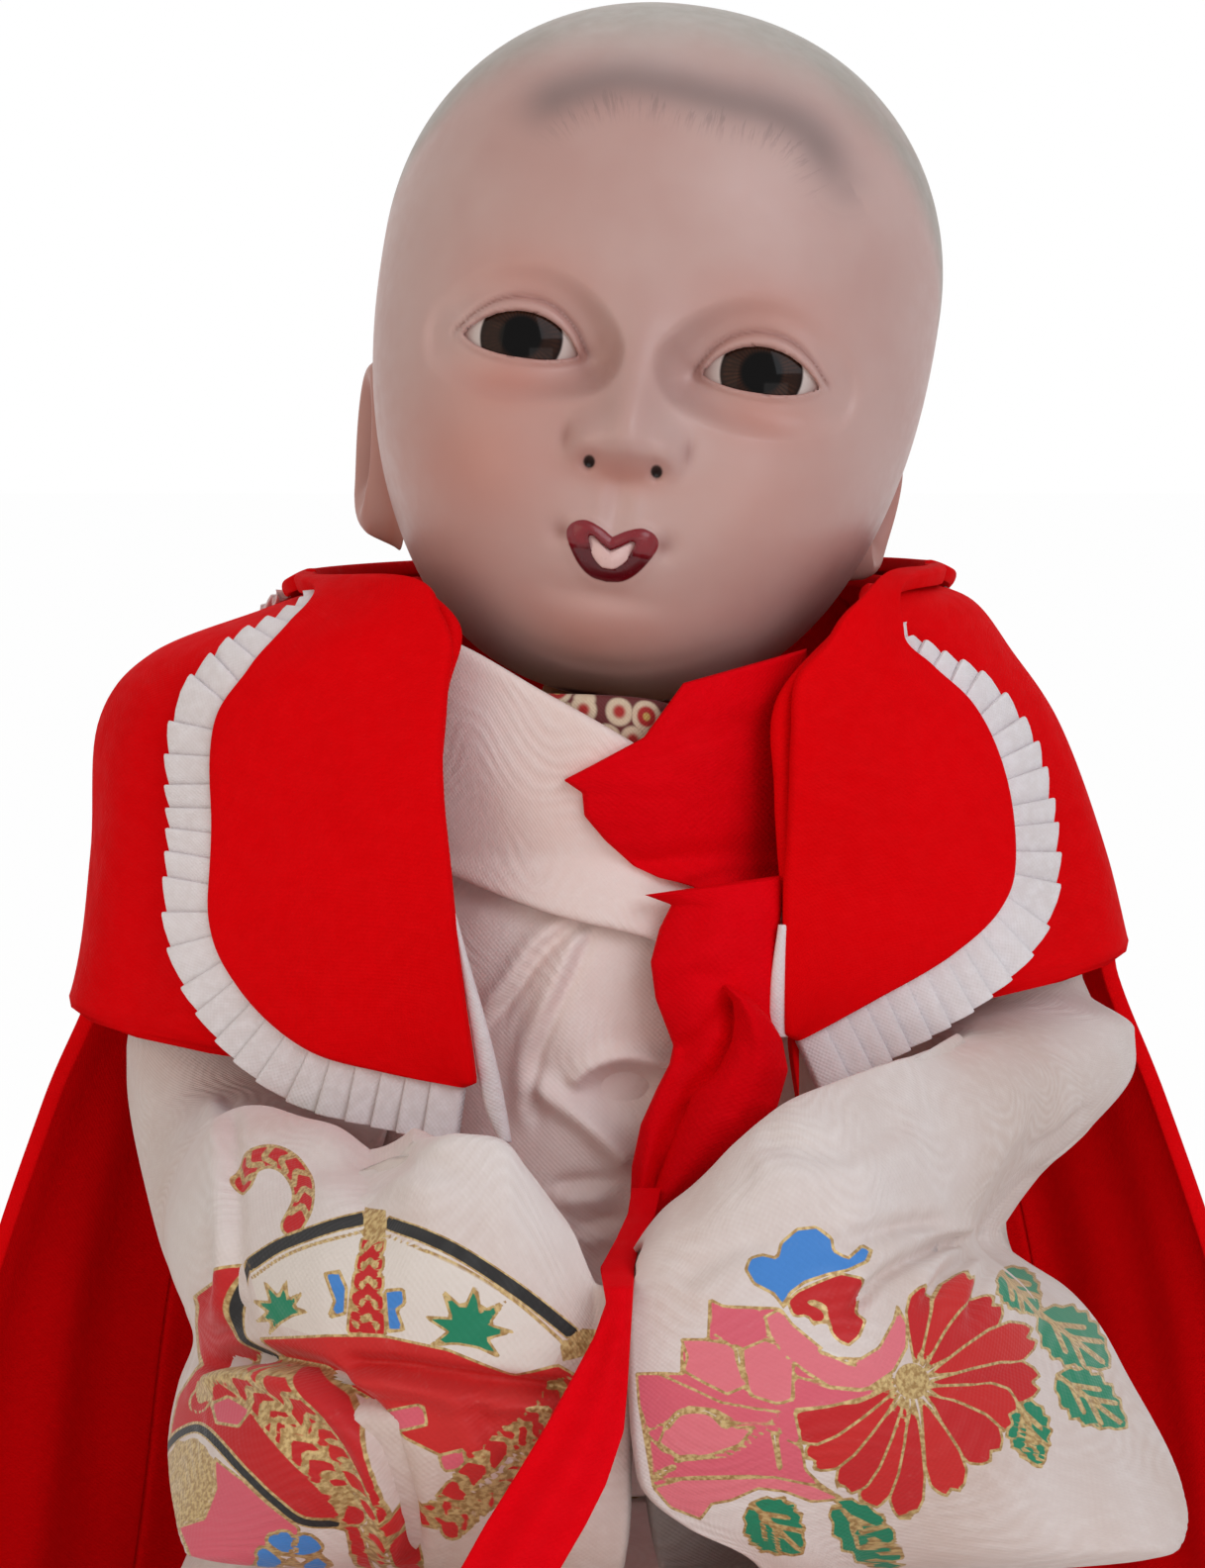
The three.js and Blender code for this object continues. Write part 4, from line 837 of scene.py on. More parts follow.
# Fractions from 0 to 1 with extra lines in the rounded borders, where a hem turns over
def bordered(count, share, turns=4):
    edge = share * (1 - np.cos(np.linspace(0, np.pi / 2, turns + 1)))[:-1]
    return np.concatenate([edge, np.linspace(share, 1 - share, count), 1 - edge[::-1]])


# Points straight from row to row, read at fractions of the number of rows
def straight(rows, t):
    p = np.asarray(rows, float)
    s = np.clip(t, 0, 1) * (len(p) - 1)
    return np.stack([np.interp(s, np.arange(len(p)), p[:, k]) for k in range(p.shape[1])], -1)


# Spot under a pixel at a depth: the pinhole formula solved for height and width
def spotAt(px, py, y):
    wide, tall = cameraSet["frame"]
    q, deep = tall / 2 - py, y - cameraSet["target"][1]
    far, f = cameraSet["distance"], cameraSet["focal"]
    up = (q * (far + deep * np.cos(tilt)) - f * deep * np.sin(tilt)) / (f * np.cos(tilt) + q * np.sin(tilt))
    depth = far + deep * np.cos(tilt) - up * np.sin(tilt)
    return np.stack(np.broadcast_arrays((px - wide / 2) * depth / f, y, up + cameraSet["target"][2]), -1)


# Sewn cloth: rule(v, u, side) gives its face, side rising from 0 at the hems to 1, and its back, side falling to -1
def sewn(name, rule, size, share, material):
    v, u = np.meshgrid(bordered(size[0], share[0]), bordered(size[1], share[1]), indexing="ij")
    hem = hemmed(v, share[0]) * hemmed(u, share[1])
    return quilt(name, rule(v, u, hem), rule(v, u, -hem), material)


# Tube of cloth: the outside rows, then the lining rows back to the start, one closed skin
def shell(name, outer, inner, material, marks=None):
    points = np.concatenate([outer, inner[::-1], outer[:1]], 0)
    if marks:
        lining = np.full((len(inner) + 1, outer.shape[1]), noDye)
        marks = {k: np.concatenate([v, lining], 0) for k, v in marks.items()}
    return surface(name, points, material, marks)


# Limb: rings about a smooth path, with a half width and a half height at each point, both ends rounded shut
def limb(path, radii, size, rounded=0.06):
    t = bordered(size[0], rounded, 6)
    a = np.linspace(0, 2 * np.pi, size[1], endpoint=False)
    spot, half = through(path, t), through(radii, t) * hemmed(t, rounded)[:, None]
    ahead = unit(through(path, np.minimum(t + 0.01, 1)) - through(path, np.maximum(t - 0.01, 0)))
    across = np.cross([0, 0, 1], ahead)
    across = np.where(np.linalg.norm(across, axis=-1, keepdims=True) < 0.2, np.array([1.0, 0, 0]), across)
    across = unit(across - ahead * np.sum(across * ahead, -1, keepdims=True))
    up = unit(np.cross(ahead, across))
    ring = across[:, None] * np.cos(a)[None, :, None] * half[:, None, :1]
    ring = ring + up[:, None] * np.sin(a)[None, :, None] * half[:, None, 1:]
    return spot[:, None] + ring, t[:, None] + 0 * a[None], a[None] + 0 * t[:, None]


# Creases: a furrow along each line and a raised lip beside it, fading over the line's ends
def creased(px, py, creases, spots, start):
    high = np.zeros(px.shape)
    for line, deep, width, lip in creases:
        gap, at, side = lineDistance(px, py, through(line, uniform(spots)))
        fade = ramp(at, 0, start) * ramp(at, at.max(), at.max() - 40)
        high += fade * (lip * bell(side * gap, width * 1.9, width * 1.5) - deep * bell(gap, 0, width))
    return high


# Body under the clothes: half width, front and back depth at shares of its height
bodySet = {"half": 46, "front": 45, "back": 38, "base": 6, "height": 232, "foot": 0.91, "lean": 0.12,
    "neck": 241,
    "rows": [(0, 0.72, 0.55, 0.75), (0.07, 1.02, 0.84, 1.08), (0.22, 1.08, 0.98, 1.1), (0.4, 1.02, 1.02, 1),
        (0.62, 1, 1, 0.95), (0.81, 1, 0.99, 0.98), (0.91, 0.94, 0.84, 0.93), (0.97, 0.72, 0.62, 0.78),
        (1, 0.53, 0.44, 0.58)]}
bodyTable = through(bodySet["rows"], uniform(600))


def bodySize(share, out):  # half width, front depth, back depth
    wide, front, back = (np.interp(share, bodyTable[:, 0], bodyTable[:, k]) for k in (1, 2, 3))
    return bodySet["half"] * wide + out, bodySet["front"] * front + out, bodySet["back"] * back + out


def bodySpot(angle, share, out):
    wide, front, back = bodySize(share, out)
    a = np.radians(angle)
    y = -np.where(np.cos(a) > 0, front, back) * np.cos(a)
    return np.stack(np.broadcast_arrays(wide * np.sin(a), y, bodySet["base"] + bodySet["height"] * share), -1)


# Collar spot: on the body up to the foot of the neck, above it standing up with a slight lean outwards
def collarSpot(angle, z, out):
    share = (z - bodySet["base"]) / bodySet["height"]
    over = np.maximum(share - bodySet["foot"], 0) * bodySet["height"]
    p = bodySpot(angle, np.minimum(share, bodySet["foot"]), out + over * bodySet["lean"])
    p[..., 2] = z
    return p


# Spot of the dressed chest under a pixel: the depth follows the body's ellipse, found in a few rounds
def chestAt(px, py, out):
    y = np.full(np.broadcast(px, py).shape, -52.0)
    for _ in range(6):
        p = spotAt(px, py, y)
        share = (p[..., 2] - bodySet["base"]) / bodySet["height"]
        over = np.maximum(share - bodySet["foot"], 0) * bodySet["height"]
        wide, front, _ = bodySize(np.clip(share, 0, bodySet["foot"]), out + over * bodySet["lean"])
        y = -front * np.sqrt(np.clip(1 - (p[..., 0] / wide) ** 2, 0.02, 1))
    return spotAt(px, py, y)


# Bodice: cloth round the body, with the wrapped layer's edge, creases and the hollow under the bow
bodiceSet = {"low": 0.385, "high": 0.985, "inside": 0.9, "outside": 3.6,
    "layer": [(400, 880), (455, 843), (485, 822), (518, 805), (569, 788), (660, 750)],
    "creases": [([(660, 896), (649, 902), (607, 921), (556, 955), (523, 1001), (490, 1042)], 1.7, 7, 1.3),
        ([(603, 930), (582, 980), (556, 1039), (543, 1077), (544, 1150)], 1.3, 7, 1.2), ([(548, 1197),
        (632, 1190)], 1.8, 8, 1.6), ([(570, 1240), (640, 1226)], 1.4, 8, 1.2), ([(470, 775), (478, 720),
        (470, 660)], 1.4, 10, 0.8), ([(455, 905), (530, 880), (640, 862)], 0.8, 12, 0.8)],
    "ridges": [([(585, 1088), (600, 1076), (632, 1066), (680, 1078)], 2.8, 11), ([(548, 1098), (590, 1128),
        (628, 1165)], 3.0, 13), ([(575, 940), (560, 1010), (585, 1060)], 1.2, 30)]}


def bodiceRelief(px, py):
    gap, _, side = lineDistance(px, py, bodiceSet["layer"])
    high = 1.3 * ramp(side * gap, -2, 5) + 1.2 * bell(side * gap, 14, 14)
    high += creased(px, py, bodiceSet["creases"], 24, 30)
    for line, lift, width in bodiceSet["ridges"]:
        high += lift * bell(lineDistance(px, py, through(line, uniform(24)))[0], 0, width)
    return high - 6.0 * bell(px, 632, 42) * bell(py, 1100, 24)


def makeBodice():
    s = np.linspace(-1, 1, 300, endpoint=False)
    angle, share = np.meshgrid(180 * (0.45 * s + 0.55 * s ** 3),
                               mix(bodiceSet["low"], bodiceSet["high"], uniform(210)))
    base = bodySpot(angle, share, bodiceSet["outside"])
    px, py = pixelOf(base)
    front = ramp(np.cos(np.radians(angle)), 0.1, 0.35)
    out = bodiceSet["outside"] + front * bodiceRelief(px, py) * ramp(share, 0.9, 0.84)
    out = out + (1 - front) * 0.8 * np.sin(np.radians(angle) * 7 + share * 5)
    inner = bodySpot(angle[::14], share[::14], bodiceSet["inside"])
    obj = shell("bodice_cloth", bodySpot(angle, share, out), inner, creamSilk)
    return cloth(settle(obj, "torso", ["kimono_bodice"]))


makeBodice()

# Collars: lower and upper lines of angles and heights over the neck ball, the distance out and the thickness
collarSet = {"under_collar": ([(-74, -24), (-46, -25), (-18, -27), (10, -30), (24, -34)], [(-74, 3), (-46, 5),
        (-18, 7), (10, 6), (24, 0)], 4.3, 2.4, "under_silk"),
    "kimono_collar_right": ([(-74, -22), (-54, -24), (-32, -28), (-10, -34), (8, -38), (24, -44)], [(-74, 14),
        (-54, 17), (-32, 17.5), (-10, 7), (8, -3), (24, -13)], 7.4, 2.4, "crepe"),
    "kimono_collar_left": ([(74, -30), (58, -32), (40, -27)], [(74, 6), (58, 7), (40, 0)], 4.3, 2.4, "crepe")}


def makeCollar(name, low, high, out, thick, slot):
    def rule(v, u, side):
        spot = mix(through(low, v), through(high, v), u[..., None])
        crown = 0.7 * np.sin(np.pi * u) + 0.35 * np.sin(v * 23 + u * 4) * np.sin(np.pi * u) ** 2
        return collarSpot(spot[..., 0], bodySet["neck"] + spot[..., 1], out + thick / 2 * (1 + side) + crown)
    obj = sewn(name + "_cloth", rule, (90, 26), (0.015, 0.05), brocade if slot == "under_silk" else creamSilk)
    return cloth(settle(obj, "torso", [name]))


for collarName, collarLines in collarSet.items():
    makeCollar(collarName, *collarLines)
print("kimono chest ready")

# Vest: distance out and height over the side, front and back, from the neck ring to the hem
vestSet = {"left": [(59, 267.5), (73, 263.5), (82.5, 252.5), (92, 238), (101.5, 213), (109, 185),
        (119.5, 158), (135, 110.86), (147.1, 53.02), (158.1, 4)],
    "right": [(58.5, 266), (69, 261.5), (90.5, 252.5), (101, 239), (103.1, 213), (107.5, 185), (119, 158),
        (135, 110.86), (147.1, 53.02), (158.1, 4)],
    "front": [(56.5, 272), (58, 261), (59, 247), (59.5, 229), (59.3, 207), (59.1, 183), (60.6, 160),
        (63.1, 135), (71.1, 104), (117.1, 98.4)],
    "back": [(58.9, 268), (61.9, 262), (63.9, 250), (65.9, 230), (67.9, 207), (68.9, 184), (71.9, 158),
        (79.9, 110.86), (90.9, 53.02), (97.9, 4)], "lap": 112.1, "shift": 3.5,
    "cap": {"left": 4.6, "right": 5.0}, "seam": 134,
    "edge": {"left": [52, 38, 23.5, 20.4, 19.3, 18.8, 18, 13.3, 8.7, 8.7], "right": [39, 23.5, 18.6, 17.2,
        15.7, 13.6, 13.5, 11.1, 8.7, 8.7]}}
vestLap = {k: [(r, z) if i < 7 else (vestSet["lap"], vestSet["front"][i][1]) for i,
               (r, z) in enumerate(vestSet[k])]
           for k in ("left", "right")}
sideSign = {"left": 1, "right": -1}


# Vest spot: an ellipse at each step down the outline, its height eased from the side's to the front's or back's
def vestSpot(angle, step):
    a, t = np.radians(angle), step / 9
    fore = (np.cos(a) > 0)[..., None]
    onLeft = (np.sin(a) > 0)[..., None]
    ahead = np.where(onLeft, through(vestLap["left"], t), through(vestLap["right"], t))
    side = np.where(fore, ahead, np.where(onLeft, through(vestSet["left"], t), through(vestSet["right"], t)))
    end = np.where(fore, through(vestSet["front"], t), through(vestSet["back"], t))
    shift = vestSet["shift"] * np.maximum(1 - step / 2, 0) ** 2
    z = mix(side[..., 1], end[..., 1], np.abs(np.cos(a)) ** 3)
    return np.stack([shift + side[..., 0] * np.sin(a), -end[..., 0] * np.cos(a), z], -1)


def vestPoint(angle, step, out):  # the same, moved out along the normal
    angle, step, out = np.broadcast_arrays(angle * 1.0, step * 1.0, out * 1.0)
    down = vestSpot(angle, np.minimum(step + 0.04, 9)) - vestSpot(angle, np.maximum(step - 0.04, 0))
    around = vestSpot(angle + 0.5, step) - vestSpot(angle - 0.5, step)
    return vestSpot(angle, step) - unit(np.cross(around, down)) * out[..., None]


# Vest front: from its inner edge to the side above the armhole, narrow below it
def makeVestFront(name):
    cap, s = vestSet["cap"][name], sideSign[name]

    def rule(v, u, side):
        step = np.interp(v, [0, 0.42, 0.62, 1], [0, cap - 0.3, cap + 0.5, 9])
        inner = through(vestSet["edge"][name], step / 9)[..., 0]
        narrow = np.degrees(np.arcsin(36.5 / through(vestLap[name], step / 9)[..., 0]))
        outer = mix(89.8, narrow, ramp(step, cap, cap + 0.3))
        angle = s * mix(inner, outer, u)
        fold = 0.9 * np.sin(angle * 0.22 + step) * ramp(step, 1.5, 4) * np.sin(np.pi * u)
        return vestPoint(angle, step, -1.7 + 1.7 * side + fold)
    obj = sewn("vest_front_" + name + "_cloth", rule, (110, 60), (0.008, 0.02), redSilk)
    return cloth(settle(obj, "torso", ["vest_front_" + name]))


makeVestFront("left")
makeVestFront("right")


# Vest back and sides: folds that deepen down to the hem, and a pressed seam line at each border
def makeVestPanel(name, start, end, columns):
    def rule(v, u, side):
        step = 9 * v
        angle = mix(start(step), end(step), u)
        deep = ramp(step, 3, 9) ** 1.3
        fold = deep * (2.6 * np.sin(angle * 0.2 + 0.5 * np.sin(step)) + 1.6 * np.sin(angle * 0.43 + 1.3))
        fold += 0.7 * np.sin(angle * 0.11 + step * 1.3) * ramp(step, 0.5, 3)
        fold = fold * hemmed(u, 0.18)
        return vestPoint(angle, step, -1.7 + 1.7 * side + fold)
    obj = sewn(name + "_cloth", rule, (150, columns), (0.006, 0.012), redSilk)
    return cloth(settle(obj, "torso", [name]))


def backEdge(step):
    return mix(90.2, 101, ramp(step, 4.2, 5))


leftSeam, rightSeam = vestSet["seam"], 360 - vestSet["seam"]
makeVestPanel("vest_back", lambda step: leftSeam + 0 * step, lambda step: rightSeam + 0 * step, 120)
makeVestPanel("vest_side_left", backEdge, lambda step: leftSeam + 0 * step, 60)
makeVestPanel("vest_side_right", lambda step: rightSeam + 0 * step, lambda step: 360 - backEdge(step), 60)

# Collar flaps: an inner and an outer line of angles and steps, from the bottom corner to the shoulder
flapSet = {"right": ([(12, 5.26), (13.7, 4.61), (14.9, 4.01), (15.8, 3.38), (17.1, 2.59), (18, 1.97),
        (20.6, 1.39), (26.9, 0.83), (36, 0.22), (58, 0.12), (94, 0.12)], [(13, 5.3), (21.1, 5.21),
        (30.3, 5.07), (39.5, 4.68), (44.6, 4.22), (44.7, 3.42), (46.5, 2.6), (46.2, 1.95), (50, 1.35),
        (62, 0.55), (94, 0.42)]),
    "left": ([(17.8, 4.89), (18.4, 4.33), (19.2, 3.8), (20.3, 3.42), (21.4, 3.02), (23, 2.46), (25.5, 1.82),
        (31, 1.4), (38.7, 0.84), (58, 0.15), (94, 0.12)], [(19, 4.95), (28, 4.68), (38.1, 4.42), (45.8, 4.16),
        (49.9, 3.85), (52.4, 3.23), (51.5, 2.49), (47.5, 1.92), (44.5, 1.4), (54, 0.6), (94, 0.42)])}


def flapSpot(name, t, across):
    spot = mix(through(flapSet[name][0], t), through(flapSet[name][1], t), np.asarray(across)[..., None])
    return sideSign[name] * spot[..., 0], spot[..., 1]


def makeFlap(name):
    def rule(v, u, side):
        angle, step = flapSpot(name, v, u)
        crown = 0.5 * np.sin(np.pi * u) + 0.3 * np.sin(v * 17 + u * 5) * hemmed(u, 0.3)
        return vestPoint(angle, step, 2.3 + 1.5 * side + crown)
    obj = sewn("vest_collar_" + name + "_cloth", rule, (150, 50), (0.008, 0.03), redSilk)
    return cloth(settle(obj, "torso", ["vest_collar_" + name]))


makeFlap("left")
makeFlap("right")


def backDepth(angle):
    return 0.42 + 1.38 * np.clip(np.sin(np.radians((angle - 94.6) * 180 / 170.8)), 0, 1) ** 0.6


def makeBackCollar():
    def rule(v, u, side):
        angle = mix(93.0, 267.0, v)
        return vestPoint(angle, mix(0.12, backDepth(angle), u), 2.7 + 1.5 * side + 0.5 * np.sin(np.pi * u))
    obj = sewn("vest_collar_back_cloth", rule, (150, 40), (0.006, 0.04), redSilk)
    return cloth(settle(obj, "torso", ["vest_collar_back"]))


makeBackCollar()

# Frills: each knife pleat rises over the next one and turns back under it, as place in pleats and height;
# for each flap its share of the edge, number of pleats and widths at the stations
frillSet = {"width": 10.4, "thick": 0.3, "lift": 2.6, "start": -1.2, "back": (106.0, 254.0),
    "right": (0.9, 28, (1.0, 1.0, 0.9, 0.6, 0.2)), "left": (0.82, 25, (1.15, 1.05, 0.5, 0.3, 0.1)),
    "stations": (0, 0.64, 0.82, 0.92, 1),
    "pleat": [(0, 0.12), (0.25, 0.34), (0.55, 0.58), (0.9, 0.84), (1.22, 1.0), (1.3, 0.97), (1.32, 0.86),
        (1.28, 0.78), (1.16, 0.5), (1.05, 0.22)]}


def makeFrill(name, edge, inside, pleats, taper):
    place, rise = np.array(frillSet["pleat"]).T
    count = np.repeat(np.arange(pleats), len(place))
    shake = np.random.default_rng(len(name)).uniform(-0.07, 0.07, pleats)
    s, h = np.tile(place, pleats), np.tile(rise, pleats)
    t = np.concatenate([(count + s + shake[count] * np.minimum(s, 1)) / pleats, [1.0]])
    h = np.concatenate([h, [0.12]])
    even = uniform(400)
    walk = np.linalg.norm(np.diff(vestPoint(*edge(even), 0 * even), axis=0), axis=-1)
    walk = np.concatenate([[0], np.cumsum(walk)])
    t = np.interp(np.clip(t, 0, 1) * walk[-1], walk, even)
    u = bordered(9, 0.03, 3)
    angle, step = edge(t)
    here = vestPoint(angle, step, 0 * t)
    normal = unit(vestPoint(angle, step, 0 * t + 1) - here)
    ahead = vestPoint(*edge(np.minimum(t + 0.01, 1)), 0 * t) - vestPoint(*edge(np.maximum(t - 0.01, 0)), 0 * t)
    away = unit(np.cross(unit(ahead), normal))
    inwards = vestPoint(*inside(t), 0 * t) - here
    away = away * -np.sign(np.sum(away * inwards, -1, keepdims=True))
    reachOut = frillSet["start"] + np.outer(frillSet["width"] * taper(t) - frillSet["start"], u)
    high = 1.2 + frillSet["lift"] * h[:, None] * (0.35 + 0.65 * u[None]) - 0.5 * u[None]
    base = here[:, None] + away[:, None] * reachOut[..., None]
    ends = np.ones(len(t))
    ends[[0, -1]] = 0
    half = frillSet["thick"] * hemmed(u, 0.03)[None] * ends[:, None]
    front = base + normal[:, None] * (high + half)[..., None]
    behind = base + normal[:, None] * (high - half)[..., None]
    obj = quilt(name + "_cloth", front, behind, whiteCotton)
    return cloth(settle(obj, "torso", [name]))


def makeFlapFrill(side):
    share, pleats, taper = frillSet[side]
    makeFrill("vest_frill_" + side, lambda t: flapSpot(side, t * share, np.ones(t.shape)),
              lambda t: flapSpot(side, t * share, np.full(t.shape, 0.7)), pleats,
              lambda t: np.interp(t, frillSet["stations"], taper))


def makeBackFrill():
    def angle(t):
        return mix(*frillSet["back"], t)
    makeFrill("vest_frill_back", lambda t: (angle(t), backDepth(angle(t))), lambda t: (angle(t), 0.2 + 0 * t),
              28,
              lambda t: 0.12 + 0.73 * ramp(np.minimum(t, 1 - t), 0, 0.12))


makeFlapFrill("right")
makeFlapFrill("left")
makeBackFrill()

# Lining of the vest fronts that shows beside the flaps, left and right edges down the view
liningSet = {"right": ([(450, 900), (462, 960), (474, 1030), (482, 1081), (490, 1120), (505, 1156)],
        [(454, 898), (470, 958), (490, 1028), (503, 1079), (511, 1118), (517, 1154)]),
    "left": ([(786, 934), (779, 985), (776, 1030), (780, 1048)], [(797, 934), (795, 985), (794, 1030),
        (796, 1048)])}


def makeLining(name):
    low, high = liningSet[name]

    def rule(v, u, side):
        p = mix(through(low, v), through(high, v), u[..., None])
        return spotAt(p[..., 0], p[..., 1], -58.6 - 0.5 * side - 0.6 * np.sin(np.pi * u))
    obj = sewn("vest_lining_" + name, rule, (50, 8), (0.02, 0.15), whiteCotton)
    return cloth(settle(obj, "torso"))


makeLining("left")
makeLining("right")
print("vest ready")

# Sash across the chest, its bow and its tail: left and right edges in the view, top to bottom;
# creases as line, depth and width
sashSet = {"chest": {"left": [(690, 690), (672, 715), (650, 745), (600, 772), (569, 788), (588, 801),
        (590, 824), (611, 849), (640, 875), (666, 887), (691, 892)], "right": [(815, 655), (812, 690),
        (810, 715), (806, 750), (802, 790), (798, 810), (795, 835), (792, 865), (790, 890), (789, 912),
        (788, 932)]},
    "fall": {"left": [(651, 904), (678, 914), (666, 938), (657, 972), (662, 1009), (680, 1056), (676, 1075),
        (664, 1098), (647, 1136), (638, 1178), (636, 1224), (628, 1246)], "right": [(790, 884), (789, 920),
        (786, 955), (783, 985), (780, 1022), (786, 1058), (786, 1088), (768, 1122), (736, 1158), (700, 1192),
        (668, 1224), (650, 1243)]},
    "loop": {"left": [(729, 996), (740, 1012), (742, 1030), (739, 1052), (725, 1081), (700, 1106),
        (683, 1144), (666, 1186), (652, 1226)], "right": [(734, 994), (758, 1007), (777, 1028), (790, 1050),
        (796, 1081), (785, 1119), (757, 1147), (725, 1175), (666, 1228)]},
    "tail": {"left": [(638, 1200), (634, 1226), (622, 1252), (606, 1281), (612, 1316), (600, 1350),
        (574, 1399), (548, 1446), (515, 1500), (490, 1540), (466, 1583), (420, 1660), (392, 1716)],
        "right": [(668, 1200), (662, 1226), (648, 1250), (641, 1279), (639, 1316), (637, 1350), (634, 1399),
        (630, 1446), (612, 1500), (592, 1540), (567, 1583), (524, 1660), (498, 1712)]},
    "tailDepth": ([1190, 1226, 1262, 1300, 1333, 1427, 1534, 1660, 1727], [-64, -80, -107, -131, -135, -141.5,
        -146, -150, -155.5]),
    "chestCreases": [([(640, 874), (720, 862), (800, 850)], 0.9, 12), ([(640, 762), (720, 735), (810, 730)],
        0.7, 16), ([(700, 893), (745, 880), (795, 884)], 0.8, 8)],
    "fallCreases": [([(742, 1018), (739, 1052), (725, 1081), (700, 1106), (683, 1144), (666, 1186),
        (653, 1224)], 3.2, 11), ([(690, 1060), (712, 1045), (733, 1015)], 1.2, 9), ([(668, 1010), (700, 985),
        (735, 990)], 0.8, 12), ([(664, 1196), (672, 1150), (690, 1118)], 1.0, 6)],
    "fallRidge": [([(676, 1075), (655, 1136), (648, 1215)], -1.4, 10)],
    "loopCreases": [([(748, 1030), (757, 1065), (740, 1120)], 0.8, 9)]}


def sashSpot(name, v, u):
    p = mix(straight(sashSet[name]["left"], v), straight(sashSet[name]["right"], v), u[..., None])
    return p[..., 0], p[..., 1]


def pressed(px, py, name):  # depth of soft furrows along lines
    return sum(deep * bell(lineDistance(px, py, line)[0], 0, width) for line, deep, width in sashSet[name])


def chestRule(v, u, side):
    px, py = sashSpot("chest", v, u)
    crown = 1.8 * np.sin(np.pi * u) + 1.2 * bell(py, 800, 60) * bell(px, 680, 70)
    crown = crown - pressed(px, py, "chestCreases") * hemmed(u, 0.2)
    return chestAt(px, py, 11.2 + 1.1 * side + crown * np.maximum(side, 0) + 0.5 * crown * np.maximum(-side, 0))


def fallRule(v, u, side):
    px, py = sashSpot("fall", v, u)
    y = np.interp(py, [880, 910, 1060, 1150, 1226, 1250], [-54, -55, -58.5, -62, -66, -84])
    crown = 4.2 * np.sin(np.pi * np.clip(u, 0, 1)) ** 0.8
    crown = crown - pressed(px, py, "fallCreases") * hemmed(u, 0.15) - pressed(px, py, "fallRidge")
    return spotAt(px, py, y - np.where(side > 0, (1.2 + crown) * side, side * 1.2))


def loopRule(v, u, side):
    px, py = sashSpot("loop", v, u)
    y = np.interp(py, [990, 1060, 1150, 1230], [-60.5, -61.5, -64.5, -67.5])
    crown = 6.5 * np.sin(np.pi * u) ** 0.75 * np.sin(np.pi * np.clip(v * 0.94 + 0.05, 0, 1)) ** 0.5
    crown = crown - pressed(px, py, "loopCreases") * hemmed(u, 0.2)
    return spotAt(px, py, y - np.where(side > 0, (1.0 + crown) * side, 1.5 * side))


def tailRule(v, u, side):
    px, py = sashSpot("tail", v, u)
    y = np.interp(py, *sashSet["tailDepth"])
    crown = 1.4 * np.sin(np.pi * u) + 0.9 * np.sin(2.5 * np.pi * u + 5 * v) * hemmed(u, 0.2) * ramp(v, 0.25,
                                                                                                    0.6)
    return spotAt(px, py, y - crown - 0.8 * side)


for sashName, sashRule, sashSize, sashNode, sashHeld, sashOn in (
        ("sash_chest_cloth", chestRule, (90, 70), "chest_sash", "folded", "kimono_collar_right"),
        ("bow_fall_cloth", fallRule, (110, 60), "bow_knot", "folded", "kimono_bodice"),
        ("bow_loop_cloth", loopRule, (80, 46), "bow_loop", "folded", "bow_fall_cloth"),
        ("sash_tail_cloth", tailRule, (130, 36), "sash_tail", "hung", "right_sleeve")):
    sashPiece = sewn(sashName, sashRule, sashSize, (0.012, 0.03), redSash)
    cloth(settle(sashPiece, "torso", [sashNode]))


def makeWaistTie():
    angle, share = np.meshgrid(np.linspace(0, 360, 200, endpoint=False), mix(0.437, 0.5, bordered(12, 0.1)))
    band = np.sin(np.pi * (share - 0.437) / 0.063)
    outer = bodySpot(angle, share, 5.4 + 1.2 * band + 0.3 * np.sin(np.radians(angle) * 31) * band)
    obj = shell("waist_tie_cloth", outer, bodySpot(angle[::4], share[::4], 4.7), redSash)
    return cloth(settle(obj, "torso", ["waist_tie"]))


makeWaistTie()
print("sash ready")


# Printed shapes: signed distances to outlines and strokes, one layer for each dye, in the units of the print sheet
dyes = (*dyeSet, "gilt")
petalDyes = {"crimson": ("crimson", "scarlet"), "pink": ("pink", "rose"), "sky": ("sky", "sky")}


def emptySheet(x):
    return {k: np.full(x.shape, 40.0) for k in dyes}


def lay(sheet, dye, d):  # a later shape cuts the earlier ones away under it
    for k in dyes:
        sheet[k] = np.maximum(sheet[k], -d)
    sheet[dye] = np.minimum(sheet[dye], d)


def paintShape(sheet, dye, x, y, outline):
    lay(sheet, dye, outlineDistance(x, y, np.asarray(outline, float)))


def paintStroke(sheet, dye, x, y, line, half):
    gap, _, _ = lineDistance(x, y, through(line, uniform(6 * len(line))) if len(line) > 2 else line)
    lay(sheet, dye, gap - half)


# Petal: a drop along its own axis, widest past the middle, notched at the tip
def petalShape(x, y, turn, near, far, width):
    f = np.array([0, 0.15, 0.4, 0.65, 0.84, 0.95, 1.0, 0.93])
    w = np.array([0.05, 0.22, 0.62, 0.95, 0.98, 0.66, 0.3, 0.0])
    long = near + (far - near) * np.concatenate([f, f[-2:0:-1]])
    side = width * np.concatenate([w, -w[-2:0:-1]])
    c, s = np.cos(np.radians(turn)), np.sin(np.radians(turn))
    return np.stack([x + long * c - side * s, y + long * s + side * c], -1)


def paintFlower(sheet, dye, x, y, centre, petals, heart):
    for k, (turn, far, width) in enumerate(petals):
        paintShape(sheet, petalDyes[dye][k % 2], x, y, petalShape(*centre, turn, heart * 0.8, far, width))
    lay(sheet, "gilt", np.hypot(x - centre[0], y - centre[1]) - heart)


